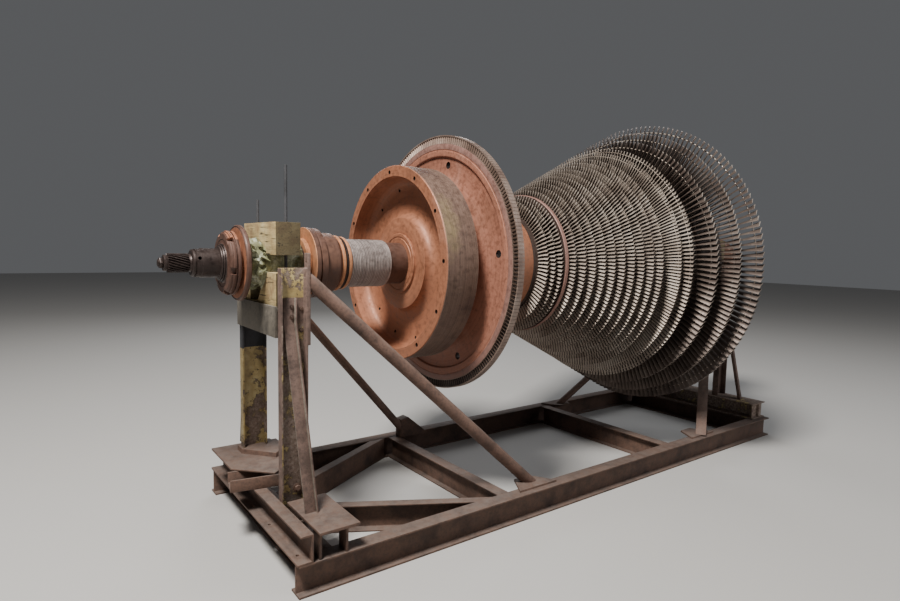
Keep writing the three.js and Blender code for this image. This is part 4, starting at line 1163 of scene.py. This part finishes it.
BARE_TOP, BARE_BOTTOM = 1.29, 1.16             # heights of the bare steel round the bolts
FRONT_FLANGE, REAR_FLANGE = at(480), at(603)   # where the column's two flanges begin
near_column = rounded(
    "front_near_column", yellow, "yellow_paint", slices=(BARE_TOP, BARE_BOTTOM),
    cutters=column_holes([(476, -309, 1401), (613, -300, 1463), (613, -300, 1393)]))
repaint(near_column, pink_steel, lambda middle, normal: (
    middle.x > REAR_FLANGE or (normal.x < -0.7 and middle.x < FRONT_FLANGE)
    or (BARE_BOTTOM < middle.z < BARE_TOP and normal.y < -0.9)))
repaint(near_column, far_yellow, lambda middle, normal: (
    middle.z > BARE_TOP and normal.y < -0.9 and middle.x < REAR_FLANGE))

SHADE_BOTTOM = 0.96
far_column = rounded(
    "front_far_column", far_yellow, "yellow_paint", slices=(SHADE_BOTTOM,),
    cutters=column_holes([(476, 300, 1050), (476, 300, 900)]))
# Above that height the far column takes the dark rod steel as painted shade.
repaint(far_column, rod_steel, lambda middle, normal: middle.z > SHADE_BOTTOM)

# %% [markdown]
# The cross beams carry the timber saddles. Two thin rods rise from each beam and pull the timber
# cap down on the journal. Four long braces hold the pedestals upright.

# %% Cross beams, braces and timber
BEAM_TOP = 1.2485
for node in ("front_cross_beam", "rear_cross_beam"):
    beam = rounded(node, plate_steel, "frame_steel", width=0.0015)
    repaint(beam, rod_steel, lambda middle, normal: middle.z > BEAM_TOP)
for node in ("front_near_brace", "front_far_brace", "rear_near_brace", "rear_far_brace"):
    rounded(node, pipe_steel, "pipe_steel", width=0.001)
for node in ("front_saddle", "front_cap", "rear_saddle", "rear_cap"):
    rounded(node, timber, "timber", width=0.004, segments=3)

# %% [markdown]
# ## Small fixings
# Hexagon bolts hold the raking struts to the columns. One bolt head with its washer is modelled at
# the origin and copied to each place. A bigger one sits near the foot of the near column.

# %% Bolts
NEAR_SIDE, FAR_SIDE = -1, 1


def bolt_head(size):
    """A bolt head of this radius in metres, with its washer, as it sits on the near side."""
    washer, top = 0.15 * size, 0.85 * size
    parts = [drill(Vector((0, -start, 0)), Vector((0, -end, 0)), radius, corners)
             for corners, radius, start, end in ((24, 1.5 * size, 0, washer),
                                                 (6, size, washer, top))]
    head = unite("bolt", parts)
    apply(head, "BEVEL", width=0.06 * size, segments=1, limit_method="ANGLE",
          angle_limit=math.radians(30))
    return head


def copy_to(head, station, y, z, side):
    """A copy with a mesh of its own. On the far side it is turned half round, to look outwards."""
    twin = head.copy()
    twin.data = head.data.copy()
    bpy.context.collection.objects.link(twin)
    half_turn = Matrix.Rotation(math.pi if side == FAR_SIDE else 0, 4, "Z")
    twin.matrix_world = Matrix.Translation((at(station), y / 1000, z / 1000)) @ half_turn
    return twin


FRONT_STAND, REAR_STAND = 545, 4536   # stations of the two pedestals
NEAR_WEB, FAR_WEB = -284, 325         # y of the faces that the bolts sit on, in millimetres
STRUT_WALL = 7.4                      # the middle bolts sit on the strut instead
STRUT_BOLTS = ((-3, 1245), (-3, 1195))
COLUMN_BOLTS = ((48, 1233), (48, 1127), (-55, 1229), (-55, 1116))
small, big = bolt_head(0.008), bolt_head(0.015)
bolts = []
for away, stand in ((1, FRONT_STAND), (-1, REAR_STAND)):
    for side, face in ((NEAR_SIDE, NEAR_WEB), (FAR_SIDE, FAR_WEB)):
        bolts += [copy_to(small, stand + away * offset, face + side * STRUT_WALL, z, side)
                  for offset, z in STRUT_BOLTS]
        bolts += [copy_to(small, stand + away * offset, face, z, side)
                  for offset, z in COLUMN_BOLTS]
bolts.append(copy_to(big, 570, NEAR_WEB, 327, NEAR_SIDE))
for model in (small, big):
    bpy.data.objects.remove(model)
dress(unite("bolts", bolts), frame_steel, "frame_steel", "stand", angle=25)

# %% [markdown]
# At the end the selection is cleared.

# %% Clear the selection
clear()
